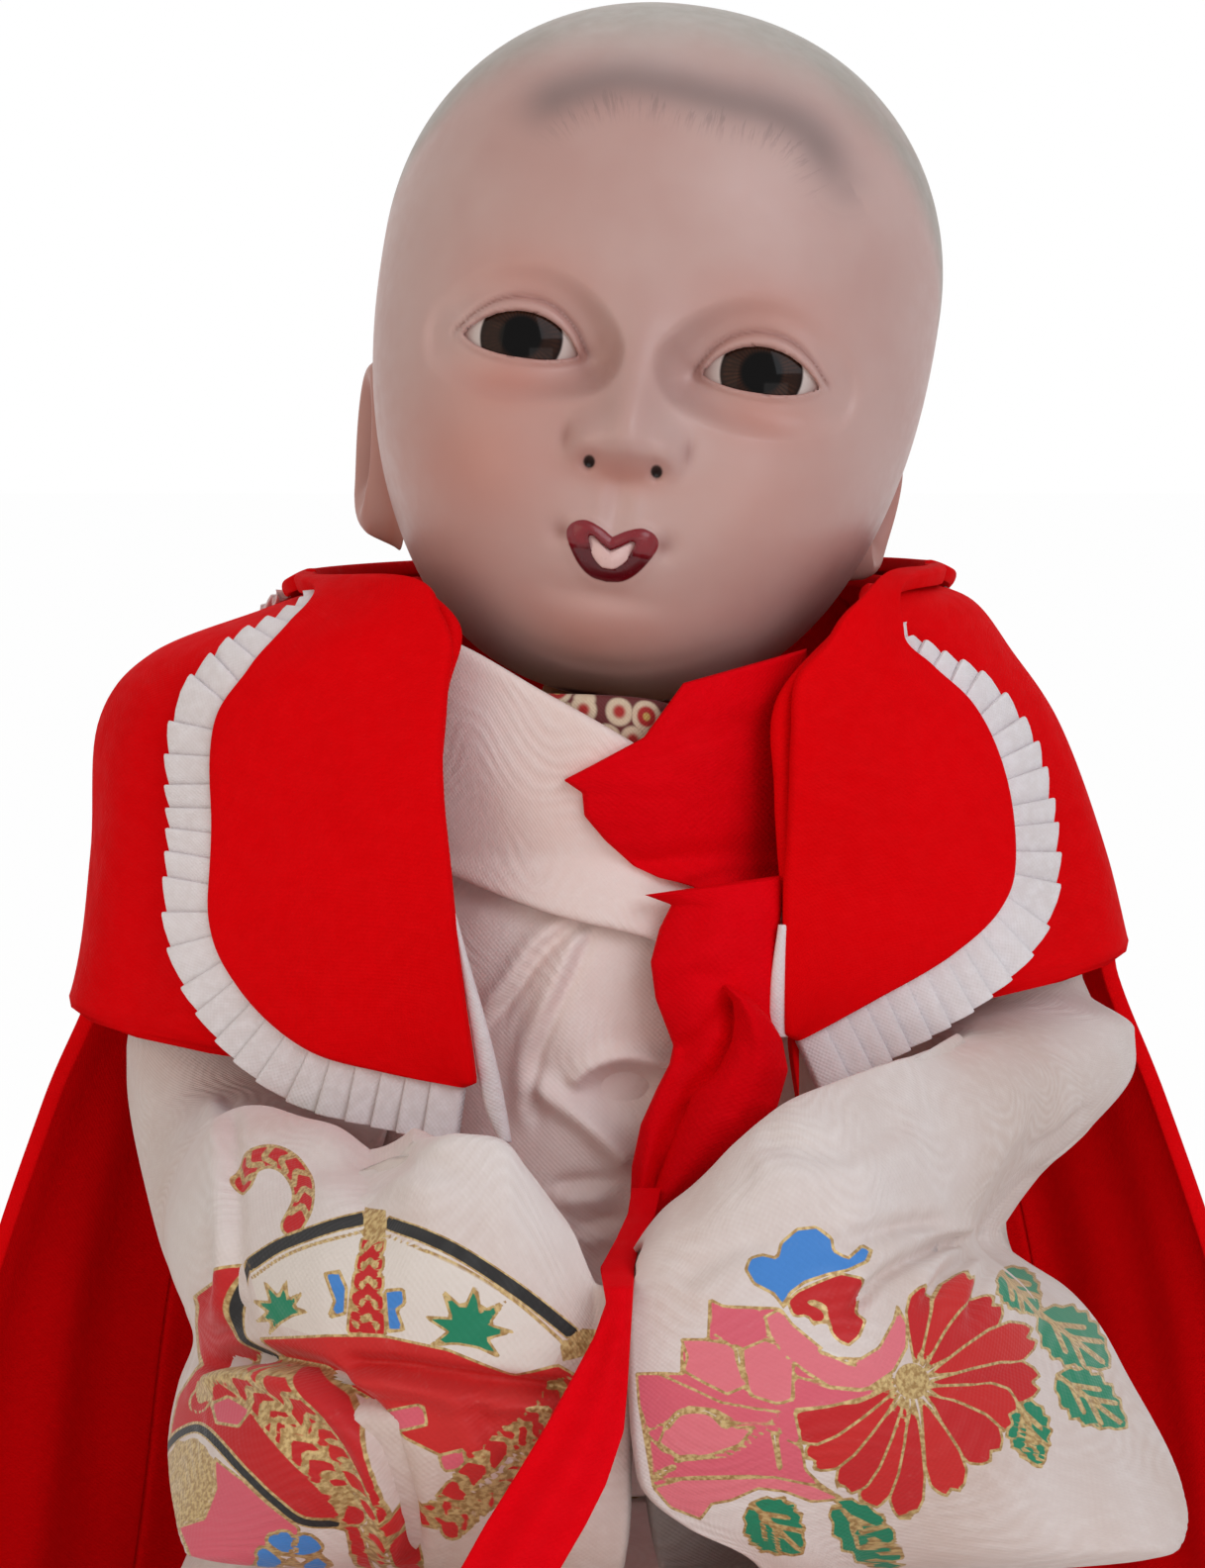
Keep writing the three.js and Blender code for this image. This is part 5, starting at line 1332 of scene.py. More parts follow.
# Leaf: a toothed blade about its rib, with gilt veins
def paintLeaf(sheet, x, y, spot, turn, long, wide):
    f = np.linspace(0, 1, 13)
    w = wide * np.sin(np.pi * f ** 0.8) ** 0.8 * np.where(np.arange(13) % 2, 1.12, 0.86)
    c, s = np.cos(np.radians(turn)), np.sin(np.radians(turn))
    along, side = np.concatenate([f, f[-2:0:-1]]) * long, np.concatenate([w, -w[-2:0:-1]])
    paintShape(sheet, "leaf", x, y, np.stack([spot[0] + along * c - side * s, spot[1] + along * s + side * c],
                                             -1))
    for f0, f1, w1 in ((0.05, 0.9, 0), (0.2, 0.5, 0.55), (0.2, 0.5, -0.55), (0.45, 0.74, 0.5),
                       (0.45, 0.74, -0.5)):
        ends = [(spot[0] + f * long * c - k * wide * s, spot[1] + f * long * s + k * wide * c) for f,
                k in ((f0, 0), (f1, w1))]
        paintStroke(sheet, "gilt", x, y, ends, 3.4)


# Maple leaf: seven pointed lobes about its stem
def paintMaple(sheet, x, y, spot, size, turn):
    k = np.arange(15)
    r = size * np.where(k % 2, 1.0, 0.46) * (1 - 0.25 * np.abs(k - 7) / 7)
    a = np.radians(turn + (k - 7) * 20)
    paintShape(sheet, "leaf", x, y, np.stack([spot[0] + r * np.cos(a), spot[1] + r * np.sin(a)], -1))


# Row of short feather strokes along a cord
def paintFeathers(sheet, x, y, line, half, count, dye="gilt"):
    curve = through(line, uniform(count + 1))
    ahead = unit(np.gradient(curve, axis=0))
    for k in range(count):
        for turn in (1, -1):
            side = np.array([-ahead[k, 1], ahead[k, 0]]) * turn
            start = curve[k] + side * half * 0.1
            paintStroke(sheet, dye, x, y, [start, start + side * half * 0.75 + ahead[k] * half * 0.9], 3.4)


def sheetSpot(rule, px, py):  # from pixels of the view to the units of a print sheet
    return (px - rule["origin"][0]) / rule["scale"], (py - rule["origin"][1]) / rule["scale"]


# Bouquet on the sleeve of the left arm
bouquetSet = {"origin": (600, 1000), "scale": 0.3935,
    "pink": [[(109, 985), (167, 983), (225, 985), (227, 898), (293, 898), (298, 796), (332, 813), (423, 816),
        (477, 818), (506, 859), (554, 900), (603, 941), (670, 946), (719, 917), (762, 849), (772, 813),
        (794, 859), (788, 917), (750, 975), (728, 1014), (593, 1058), (506, 1072), (525, 1159), (535, 1217),
        (574, 1256), (632, 1295), (554, 1304), (486, 1277), (419, 1270), (351, 1304), (302, 1314),
        (273, 1355), (196, 1326), (152, 1275), (115, 1062)], [(225, 898), (283, 898), (351, 909), (380, 951),
        (385, 1014), (341, 1033), (283, 1006), (230, 977), (241, 942)], [(298, 796), (332, 813), (370, 816),
        (423, 816), (440, 849), (440, 898), (421, 944), (370, 927), (307, 883)], [(380, 922), (438, 898),
        (486, 917), (506, 966), (501, 1043), (467, 1055), (399, 1035), (385, 985)], [(506, 985), (593, 1014),
        (680, 1022), (733, 995), (695, 1033), (593, 1058), (504, 1068)], [(438, 840), (477, 818), (506, 859),
        (554, 900), (603, 941), (670, 946), (719, 917), (762, 849), (772, 813), (794, 859), (788, 917),
        (750, 975), (680, 1019), (593, 1012), (535, 975), (486, 937), (450, 888)], [(109, 985), (167, 985),
        (235, 1014), (322, 1053), (409, 1067), (477, 1074), (438, 1101), (370, 1106), (312, 1072),
        (244, 1067), (186, 1106), (138, 1130), (115, 1062)], [(186, 1111), (244, 1072), (312, 1077),
        (361, 1116), (409, 1111), (370, 1159), (293, 1188), (225, 1198), (167, 1159)], [(138, 1140),
        (177, 1179), (244, 1200), (341, 1188), (390, 1159), (457, 1101), (486, 1140), (525, 1159),
        (535, 1217), (574, 1256), (515, 1256), (419, 1237), (341, 1241), (244, 1246), (159, 1251)],
        [(152, 1275), (225, 1251), (341, 1246), (457, 1239), (554, 1258), (632, 1295), (554, 1304),
        (486, 1277), (419, 1270), (351, 1304), (302, 1314), (273, 1355), (196, 1326)]],
    "heart": [(495, 800), (520, 775), (575, 750), (630, 728), (680, 745), (690, 790), (672, 830), (690, 850),
        (672, 890), (640, 915), (610, 890), (590, 850), (560, 860), (545, 835), (510, 840)],
    "cloud": [(390, 720), (400, 690), (430, 680), (470, 690), (480, 650), (520, 615), (570, 610), (610, 640),
        (615, 670), (650, 690), (690, 655), (705, 670), (690, 700), (650, 720), (600, 730), (540, 750),
        (500, 780), (490, 820), (460, 780), (410, 755)],
    "flower": ((795, 1000), [(-77, 240, 42), (-58, 312, 46), (-40, 312, 50), (-19, 350, 54), (2, 340, 56),
        (20, 290, 62), (41, 296, 60), (67, 312, 50), (90, 350, 44), (107, 334, 44), (121, 320, 46),
        (141, 322, 52), (157, 320, 50), (178, 190, 46)], 44),
    "leaves": [((1045, 720), 50, 150, 52), ((1140, 830), 38, 230, 72), ((1180, 990), 36, 230, 66),
        ((1075, 1050), 70, 190, 58), ((400, 1310), 45, 190, 74), ((610, 1300), 48, 280, 66)],
    "lights": [[(188, 1117), (225, 1080), (293, 1078), (335, 1113)], [(457, 1130), (465, 1169), (473, 1213)],
        [(157, 1251), (177, 1233), (204, 1221)], [(365, 919), (370, 946), (386, 995)], [(574, 925),
        (612, 937), (653, 958)], [(554, 801), (589, 820), (599, 869)], [(213, 1202), (235, 1196),
        (258, 1194)]]}


def paintBouquet(px, py):
    x, y = sheetSpot(bouquetSet, px, py)
    sheet = emptySheet(x)
    for leafSpot in bouquetSet["leaves"]:
        paintLeaf(sheet, x, y, *leafSpot)
    paintFlower(sheet, "crimson", x, y, *bouquetSet["flower"])
    for k, outline in enumerate(bouquetSet["pink"]):
        paintShape(sheet, petalDyes["pink"][k % 2], x, y, outline)
    paintShape(sheet, "sky", x, y, bouquetSet["cloud"])
    paintShape(sheet, "crimson", x, y, bouquetSet["heart"])
    for line in bouquetSet["lights"]:
        paintStroke(sheet, "ivory", x, y, line, 5.0)
    return sheet


# Open fans, cords and maple leaves on the sleeve of the right arm
fanSet = {"origin": (0, 1000), "scale": 0.4082,
    "panel": [(625, 700), (760, 622), (900, 588), (960, 596), (1100, 648), (1250, 742), (1400, 868),
        (1372, 925), (1270, 955), (1100, 885), (960, 855), (780, 855), (655, 812)],
    "rim": [[(620, 684), (690, 640), (760, 612), (840, 586), (905, 572)], [(968, 580), (1040, 604),
        (1120, 640), (1200, 688), (1290, 752), (1360, 806), (1422, 856)]],
    "inner": [[(632, 712), (700, 668), (780, 636), (905, 604)], [(968, 610), (1100, 664), (1200, 718),
        (1290, 782), (1390, 870)]], "curl": [(616, 690), (598, 740), (592, 800), (604, 860), (640, 906)],
    "clips": [[(905, 545), (962, 548), (966, 620), (908, 622)], [(1385, 880), (1440, 838), (1492, 842),
        (1500, 872), (1440, 908), (1392, 920)]],
    "strip": [(903, 622), (966, 622), (962, 740), (960, 855), (864, 850), (880, 740)],
    "band": [(650, 862), (780, 857), (870, 852), (960, 857), (1110, 890), (1270, 958), (1380, 928),
        (1450, 968), (1400, 1080), (1250, 1150), (1120, 1150), (1000, 1100), (890, 1015), (770, 930),
        (660, 905)],
    "roll": [(480, 760), (560, 690), (600, 680), (596, 760), (600, 860), (640, 910), (760, 930), (860, 1000),
        (905, 1060), (930, 1150), (960, 1250), (990, 1330), (1040, 1400), (1060, 1484), (880, 1484),
        (860, 1330), (770, 1300), (700, 1230), (620, 1150), (540, 1085), (440, 1120), (450, 1010), (500, 930),
        (490, 850)],
    "cords": [[(700, 950), (800, 1060), (880, 1200), (930, 1340), (960, 1480)], [(620, 960), (720, 1060),
        (820, 1180), (880, 1290)], [(1400, 990), (1300, 1080), (1180, 1170), (1080, 1290), (990, 1310)],
        [(520, 1020), (560, 960), (640, 930)], [(1330, 1150), (1220, 1240), (1120, 1330)]],
    "ring": [(598, 470), (620, 428), (668, 412), (716, 432), (748, 480), (752, 530), (728, 585)],
    "small": {"edge": [(430, 1135), (480, 1100), (535, 1090), (600, 1130), (660, 1190), (710, 1250),
        (760, 1300), (835, 1310)], "gold": [(420, 1170), (470, 1120), (535, 1112), (585, 1160), (575, 1230),
        (520, 1310), (450, 1330), (418, 1260)], "pink": [(585, 1160), (650, 1205), (700, 1265), (750, 1318),
        (740, 1370), (640, 1420), (560, 1430), (480, 1420), (450, 1330), (520, 1310), (575, 1230)]},
    "bow": [[(815, 705), (850, 700), (868, 740), (862, 800), (820, 810), (838, 770)], [(965, 745),
        (1010, 740), (1012, 775), (990, 790), (1005, 840), (965, 845)]], "blue": (725, 1415),
    "black": [(1440, 945), (1478, 915), (1488, 945), (1450, 965)],
    "maples": [((705, 795), 82, -120), ((1160, 845), 128, -80)],
    "spine": [(935, 630), (925, 740), (912, 850)],
    "pinks": [[(555, 1030), (600, 1010), (660, 1040), (640, 1080), (580, 1075)], [(960, 1040), (1050, 1020),
        (1060, 1070), (980, 1090)], [(1090, 1140), (1150, 1120), (1160, 1170), (1100, 1180)]]}


def paintFans(px, py):
    x, y = sheetSpot(fanSet, px, py)
    sheet = emptySheet(x)
    paintShape(sheet, "crimson", x, y, fanSet["roll"])
    paintShape(sheet, "scarlet", x, y, fanSet["band"])
    for outline in fanSet["pinks"]:
        paintShape(sheet, "pink", x, y, outline)
    for k, line in enumerate(fanSet["cords"]):
        paintStroke(sheet, petalDyes["crimson"][1 - k % 2], x, y, line, 30)
        paintFeathers(sheet, x, y, line, 32, 9)
        paintFeathers(sheet, x + 6, y + 12, line, 26, 7, "ivory")
    paintStroke(sheet, "crimson", x, y, fanSet["ring"], 27)
    paintFeathers(sheet, x, y, fanSet["ring"], 26, 7)
    paintShape(sheet, "ivory", x, y, fanSet["panel"])
    paintShape(sheet, "pink", x, y, fanSet["small"]["pink"])
    gold = outlineDistance(x, y, np.asarray(fanSet["small"]["gold"], float))
    lay(sheet, "gilt", gold + 2.5 + 2.5 * np.sin(np.arctan2(y - 1230, x - 480) * 16))
    for outline in fanSet["bow"]:
        paintShape(sheet, "sky", x, y, outline)
    paintFlower(sheet, "sky", x, y, fanSet["blue"], [(turn, 92, 34) for turn in range(-170, 190, 60)], 20)
    for maple in fanSet["maples"]:
        paintMaple(sheet, x, y, *maple)
    paintShape(sheet, "crimson", x, y, fanSet["strip"])
    paintFeathers(sheet, x, y, fanSet["spine"], 34, 5)
    for line, half in [(line, 17) for line in fanSet["rim"]] + [(fanSet["curl"], 11),
                                                                (fanSet["small"]["edge"], 12)]:
        paintStroke(sheet, "ink", x, y, line, half)
    for line in fanSet["inner"]:
        paintStroke(sheet, "gilt", x, y, line, 4.6)
    for outline in fanSet["clips"]:
        paintShape(sheet, "gilt", x, y, outline)
    paintShape(sheet, "ink", x, y, fanSet["black"])
    return sheet


# Scattered blossoms and leaves for the sides away from the view, in millimetres along and round the sleeve
def paintScatter(along, around, seed):
    sheet = emptySheet(along)
    draw = np.random.default_rng(seed)
    for k in range(7):
        spot = (draw.uniform(300, 2400), draw.uniform(-900, 900))
        turn = draw.uniform(0, 60)
        paintLeaf(sheet, along, around, (spot[0] + 120, spot[1] + 60), turn, 200, 60)
        petals = [(turn + 30 * n, 150 + 20 * (n % 2), 34) for n in range(12)]
        paintFlower(sheet, "crimson" if k % 2 else "pink", along, around, spot, petals, 26)
    return sheet


# Sleeves: rings as centre, half across, half up and lean; creases and edges by the view's pixels
sleeveSet = {"left": {"rings": [(75.1, 3, 229, 17, 19, 0), (75.1, 2, 207, 20, 21, 0),
        (75.1, 0, 186, 22, 22, 0), (74.1, -20, 164, 24.5, 24, 0), (65.1, -52, 147, 21, 35, 0),
        (55.1, -86, 140, 25, 37, 0), (34, -110, 137, 25, 36, 0), (9, -115, 133, 22, 32, -0.08)], "pouch": 17,
        "facing": 0.5, "pin": 870, "outer": [(1040, 1147), (1080, 1147), (1110, 1130), (1150, 1092),
        (1190, 1050), (1225, 1024), (1252, 1012), (1275, 1040), (1300, 1078), (1340, 1112), (1400, 1142),
        (1500, 1196), (1584, 1215), (1700, 1190)], "top": [(630, 1290), (640, 1262), (668, 1222), (700, 1193),
        (740, 1152), (790, 1110), (846, 1086), (890, 1070), (930, 1057), (965, 1052)], "topPin": 1330,
        "crown": 0.27, "innerPin": 870, "dip": 0, "elbow": 1.66, "rounds": 600, "inner": [(1262, 640),
        (1300, 637), (1400, 639), (1470, 645), (1510, 657), (1545, 700), (1584, 770), (1660, 800)],
        "creases": [([(1000, 1252), (950, 1258), (890, 1290), (850, 1340)], 2.6, 8, 1.6), ([(1000, 1258),
        (955, 1285), (925, 1335)], 2.2, 7, 1.4), ([(1005, 1262), (985, 1310), (975, 1350)], 1.6, 7, 1.0),
        ([(960, 1235), (900, 1240), (830, 1262)], 1.2, 9, 1.0), ([(1110, 1110), (1060, 1150), (1010, 1170)],
        0.9, 7, 0.8), ([(1120, 1140), (1070, 1175), (1020, 1195)], 0.9, 7, 0.8), ([(760, 1150), (850, 1165),
        (920, 1120)], 1.4, 16, 0.8), ([(680, 1300), (740, 1262), (800, 1250)], 1.1, 14, 0.9)],
        "swells": [((900, 1180), (130, 45), 2.0), ((860, 1430), (170, 90), 3.0)]},
    "right": {"rings": [(75.1, 3, 229, 21, 21, 0), (75.1, 3, 207, 21.5, 22, 0), (74.1, 1, 185, 21.5, 22, 0),
        (71.1, -16, 155, 22, 22, 0), (65.1, -46, 139, 23.5, 29, 0), (57.1, -78, 137, 26, 33, 0),
        (35, -104, 136, 25, 34.5, 0), (6, -109, 134, 21.5, 33.5, -0.28)], "pouch": 4, "facing": 2.6,
        "pin": 420, "crown": 0.13, "dip": 14, "outer": [(1060, 128), (1110, 130), (1180, 142), (1260, 160),
        (1320, 184), (1355, 196), (1400, 182), (1470, 170), (1584, 174), (1700, 190)], "inner": [(1140, 505),
        (1170, 522), (1240, 568), (1340, 624), (1400, 634), (1480, 634), (1584, 628), (1700, 600)],
        "innerPin": 330, "topPin": 1400, "elbow": 0, "rounds": 0, "top": [(250, 1112), (330, 1120),
        (373, 1132), (420, 1136), (473, 1142), (508, 1150), (530, 1178), (570, 1236), (600, 1292)],
        "creases": [([(200, 1384), (253, 1371), (310, 1379), (350, 1402), (385, 1440), (405, 1500),
        (420, 1590)], 5.0, 10, 3.2), ([(340, 1376), (400, 1380), (470, 1392), (600, 1408)], 3.4, 9, 2.4),
        ([(232, 1100), (238, 1200), (244, 1290), (250, 1350)], 1.5, 8, 1.6), ([(196, 1340), (215, 1290),
        (212, 1220)], 1.4, 10, 1.0), ([(470, 1392), (500, 1450), (540, 1500)], 1.4, 10, 1.0), ([(300, 1180),
        (400, 1170), (480, 1190)], 0.9, 14, 0.8)], "swells": [((270, 1470), (90, 70), 5.0), ((480, 1460),
        (70, 40), 2.5), ((420, 1290), (150, 60), 2.0)]}}


# Sleeve spot: an ellipse about the arm's curve, the hanging side spread into a pouch
def sleeveSpot(name, t, a):
    rows, s = np.array(sleeveSet[name]["rings"], float), sideSign[name]
    middle, half = rows[:, :3] * [s, 1, 1], through(rows[:, 3:], t)
    ahead = unit(through(middle, np.minimum(t + 0.02, 1)) - through(middle, np.maximum(t - 0.02, 0)))
    upright = np.maximum(0, 1 - 4 * t)[..., None]
    across = unit(mix(np.cross([0, 0, 1], ahead), np.array([1.0, 0, 0]), upright))
    across = unit(across - ahead * np.sum(across * ahead, -1, keepdims=True))
    up = unit(np.cross(ahead, across))
    up[..., 0] -= s * half[..., 2]
    hang = np.sin(np.pi * np.clip((t - 0.42) / 0.48, 0, 1))
    puff = 0.6 * np.sin(np.pi * np.clip((t - 0.3) / 0.6, 0, 1))
    fold = 1 + 0.035 * puff * np.sin(5 * a + 9 * t)
    crown = 1 + sleeveSet[name]["crown"] * bell(t, 0.63, 0.14)
    spread = np.maximum(-s * across[..., 0] * np.cos(a) * np.sin(a), 0) * 2 * hang * sleeveSet[name]["pouch"]
    p = through(middle, t) + across * (half[..., 0] * fold * np.cos(a))[..., None]
    p = p + up * (half[..., 1] * np.sin(a) * np.where(np.sin(a) < 0, 1, fold * crown))[..., None]
    p[..., 0] += s * spread
    return p


# Slides points beyond a pin so that the shape's edge in the view follows a line, evenly from the pin to the edge
def fitEdge(points, line, pin, upright=False, weight=1.0):
    px, py = pixelOf(points)
    weight = np.broadcast_to(weight, px.shape)
    along, across = (px, py) if upright else (py, px)
    line = through(line, uniform(200))
    sign = np.sign(line[:, 1].mean() - pin)
    low, step = along.min() - 1, 9.0
    bins = ((along - low) / step).astype(int)
    reachOut = np.zeros(bins.max() + 1)
    part = weight > 0.5
    np.maximum.at(reachOut, bins[part], (sign * (across - pin))[part])
    met = np.flatnonzero(reachOut > 1)
    reachOut = np.interp(np.arange(len(reachOut)), met, reachOut[met])
    reachOut = np.convolve(np.pad(reachOut, 2, mode="edge"), np.ones(5) / 5, "valid")
    edge = np.interp(along, low + step * (np.arange(len(reachOut)) + 0.5), reachOut)
    wanted = sign * (np.interp(along, line[:, 0], line[:, 1]) - pin)
    fade = ramp(along, line[0, 0] - 40, line[0, 0]) * ramp(along, line[-1, 0] + 40, line[-1, 0])
    gone = np.maximum(sign * (across - pin), 0)
    shift = sign * gone * fade * weight * (wanted / np.maximum(edge, 20) - 1)
    p = points - np.array(cameraSet["target"])
    depth = cameraSet["distance"] + p[..., 1] * np.cos(tilt) - p[..., 2] * np.sin(tilt)
    moved = points.copy()
    moved[..., 2 if upright else 0] += (-1 if upright else 1) * shift * depth / cameraSet["focal"]
    return moved


def makeSleeve(name):
    rule, s = sleeveSet[name], sideSign[name]
    share = np.linspace(0, 1, 1500)
    dense = np.cumsum(1 + 1.4 * ramp(share, 0.28, 0.45))
    t = np.interp(np.linspace(dense[0], dense[-1], 290), dense, share)
    k = np.linspace(-1, 1, 280, endpoint=False)
    a, t = np.meshgrid(rule["facing"] + np.pi * (0.55 * k + 0.45 * k ** 3), t)
    p = sleeveSpot(name, t, a)
    p = fitEdge(p, rule["outer"], rule["pin"])
    forward = ramp(p[..., 1].mean(1, keepdims=True) - p[..., 1], -4, 8)
    p = fitEdge(p, rule["inner"], rule["innerPin"], False, forward)
    high = ramp(p[..., 2] - p[..., 2].mean(1, keepdims=True), 0, 12)
    p[..., 2] -= rule["dip"] * (1 - forward) * ramp(t, 0.74, 0.95) * high
    p = fitEdge(p, rule["top"], rule["topPin"], True, ramp(t, 0.4, 0.55))
    # Inner elbow: each spot drawn halfway to its neighbours along the arm until the fold in the tube has opened
    eased = ramp(t, 0.38, 0.44) * ramp(t, 0.72, 0.66) * bell(a, rule["elbow"], 0.9)
    for _ in range(rule["rounds"]):
        p[1:-1] += 0.5 * eased[1:-1, :, None] * (p[2:] + p[:-2] - 2 * p[1:-1])
    n = outward(p)
    px, py = pixelOf(p)
    look = unit(np.array(cameraSet["target"]) + reach - p)
    facing = np.sum(n * look, -1)
    seen = ramp(facing, 0.0, 0.3)
    high = 0.5 * np.sin(3 * a + 14 * t) * ramp(t, 0.3, 0.5) * (1 - seen)
    high += seen * creased(px, py, rule["creases"], 30, 25)
    for (mx, my), (wx, wy), lift in rule["swells"]:
        high += seen * lift * bell(px, mx, wx) * bell(py, my, wy)
    p = p + n * high[..., None]
    front = (facing > 0.02) & (t > 0.12)
    away = (facing < -0.02) & (t > 0.3)
    sheet = {d: np.full(px.shape, noDye) for d in dyes}
    ahead = (paintBouquet if name == "left" else paintFans)(px[front], py[front])
    behind = paintScatter(t[away] * 2600, np.mod(a[away] * s, 2 * np.pi) * 400 - 1200, 5 + s)
    for dye in dyes:
        sheet[dye][front] = np.clip(ahead[dye] * 0.4, -noDye, noDye)
        sheet[dye][away] = np.clip(behind[dye] * 0.3, -noDye, noDye)
    lip = p[-1:] + unit(p[-1:] - p[-6:-5]) * 0.9 - n[-1:] * 0.8
    inner = np.concatenate([(p - n * 1.6)[::12], (p - n * 1.6)[-1:], lip], 0)
    obj = shell(name + "_sleeve_cloth", p, inner, printedShadedSilk, marks=sheet)
    return cloth(settle(obj, name + "_arm", [name + "_sleeve"]))


makeSleeve("left")
makeSleeve("right")
print("sleeves ready")


# Skirt over the lap: rings as depth, half width and height, flat below and rounded above
skirtSet = {"rings": [(58, 66.2, 60), (50, 82.8, 84), (32, 92, 98), (8, 93.8, 102), (-34, 93.8, 101),
        (-50, 92.9, 94), (-84, 90.2, 94), (-118, 87.4, 94), (-152, 84.6, 88), (-172, 81, 74)], "fine": 14,
    "barScale": 2.5,
    "blossoms": [(30, -140, "crimson"), (-52, -128, "pink"), (60, -62, "pink"), (-46, -60, "crimson")],
    "bars": [([(630, 1420), (632, 1500), (628, 1560)], 7), ([(585, 1570), (612, 1530), (640, 1505)], 7),
        ([(560, 1500), (600, 1508), (655, 1508)], 3), ([(655, 1440), (690, 1470), (700, 1530)], 6)]}


def makeSkirt():
    v = bordered(150, 0.03, 5)
    rings = through(skirtSet["rings"], v)
    count, under = 170, 60
    a = np.pi * (1 - uniform(count))
    c, s = np.cos(a), np.sin(a)
    across, rise = rings[:, 1:2] * np.sign(c) * np.abs(c) ** 0.75, rings[:, 2:] * np.clip(s, 0, 1) ** 0.55
    top = np.stack(np.broadcast_arrays(across, rings[:, :1], rise), -1)
    flat = np.linspace(1, -1, under + 2)[1:-1]
    low = np.stack(np.broadcast_arrays(rings[:, 1:2] * flat, rings[:, :1], 0.4 + 0 * flat), -1)
    p = np.concatenate([top, low], 1)
    around = np.concatenate([uniform(count), 0 * flat - 1])[None]
    upper = np.concatenate([ramp(s, 0.1, 0.6), 0 * flat])[None]
    down = v[:, None]
    lap = 1.6 * ramp(p[..., 0], 9 + 14 * down, 15 + 14 * down) * ramp(down, 0.3, 0.4)
    fold = ramp(down, 0.3, 1.0) * (1.7 * np.sin(around * 41 + 3 * down) + 1.2 * np.sin(around * 23 + 5))
    fold = fold + 0.8 * np.sin(around * 17 + 9 * down)
    n = outward(p)
    outer = p + n * (upper * (fold - lap))[..., None]
    shut = outer[:1] * 0 + outer[:1].mean(1, keepdims=True)
    lining = (p - n * 3.0)[::6]
    lining[:, :, 1] = np.minimum(lining[:, :, 1], 54)
    far = lining[:1] * 0 + lining[:1].mean(1, keepdims=True)
    px, py = pixelOf(outer)
    sheet = emptySheet(px)
    above = upper > 0.3
    fine, barScale = skirtSet["fine"], skirtSet["barScale"]
    x, y = p[..., 0] * fine, p[..., 1] * fine
    flower = [(30 * k, 240 + 40 * (k % 2), 52) for k in range(12)]
    for spotX, spotY, dye in skirtSet["blossoms"]:
        paintLeaf(sheet, x, y, (spotX * fine + 200, spotY * fine + 90), 30, 260, 80)
        paintLeaf(sheet, x, y, (spotX * fine - 150, spotY * fine + 150), 130, 240, 74)
        paintFlower(sheet, dye, x, y, (spotX * fine, spotY * fine), flower, 44)
    for line, half in skirtSet["bars"]:
        paintStroke(sheet, "ink", px * barScale, py * barScale, np.array(line) * barScale, half * barScale)
    points = np.concatenate([shut, outer, lining[::-1], far], 0)
    for dye, d in list(sheet.items()):
        sheet[dye] = np.full(points.shape[:2], noDye)
        sheet[dye][1:len(outer) + 1] = np.where(above, np.clip(d * 0.4, -noDye, noDye), noDye)
    obj = surface("kimono_skirt_cloth", points, printedShadedSilk, sheet)
    return cloth(settle(obj, "torso", ["kimono_skirt"]))


makeSkirt()

# Arms: stuffed upper arm, cord at the elbow, and a forearm that ends in a half-closed hand
armSet = {"left": (71, -30, 150), "right": (70, -27, 144), "shoulder": 75.1, "cord": 0.9, "tie": 11.0}


def armPath(name):
    s, (x, y, z) = sideSign[name], armSet[name]
    return [(s * armSet["shoulder"], 3, 227), (s * armSet["shoulder"], 2, 196), (s * (x + 3), -6, z + 20),
            (s * (x - 1), y, z)]


def makeUpperArm(name):
    p, t, a = limb(armPath(name), [(14, 14), (14, 14), (12.5, 12.5), (7, 7)], (90, 60))
    gather = 0.8 * np.sin(a * 14) * ramp(t, 0.78, 0.95) + 0.5 * np.sin(a * 3 + t * 9)
    p = raised(p, gather * hemmed(t, 0.06) - 0.4 * bell(t, 0.9, 0.02))
    obj = surface(name + "_upper_arm_cloth", p, stuffedCotton)
    settle(obj, name + "_arm", [name + "_upper_arm"])


# Twisted cord round a limb: a ring whose section turns as a three-strand rope
def makeTie(name, body, path, radius, share, node):
    spot = through(path, np.array(share))
    ahead = unit(through(path, np.array(share + 0.02)) - through(path, np.array(share - 0.02)))
    across = unit(np.cross(ahead, [0, 0.3, 1.0]))
    up = np.cross(ahead, across)
    b, c = np.meshgrid(np.linspace(0, 2 * np.pi, 150, endpoint=False), np.linspace(0, 2 * np.pi, 19),
                       indexing="ij")
    thick = armSet["cord"] * (1 + 0.14 * np.cos(3 * c + 20 * b))
    out = radius + thick * np.cos(c)
    away = across * np.cos(b)[..., None] + up * np.sin(b)[..., None]
    p = spot + out[..., None] * away + ahead * (thick * np.sin(c))[..., None]
    obj = surface(name + "_cord", np.concatenate([p, p[:1]], 0)[:, :-1], hempCord)
    settle(obj, body, [node])


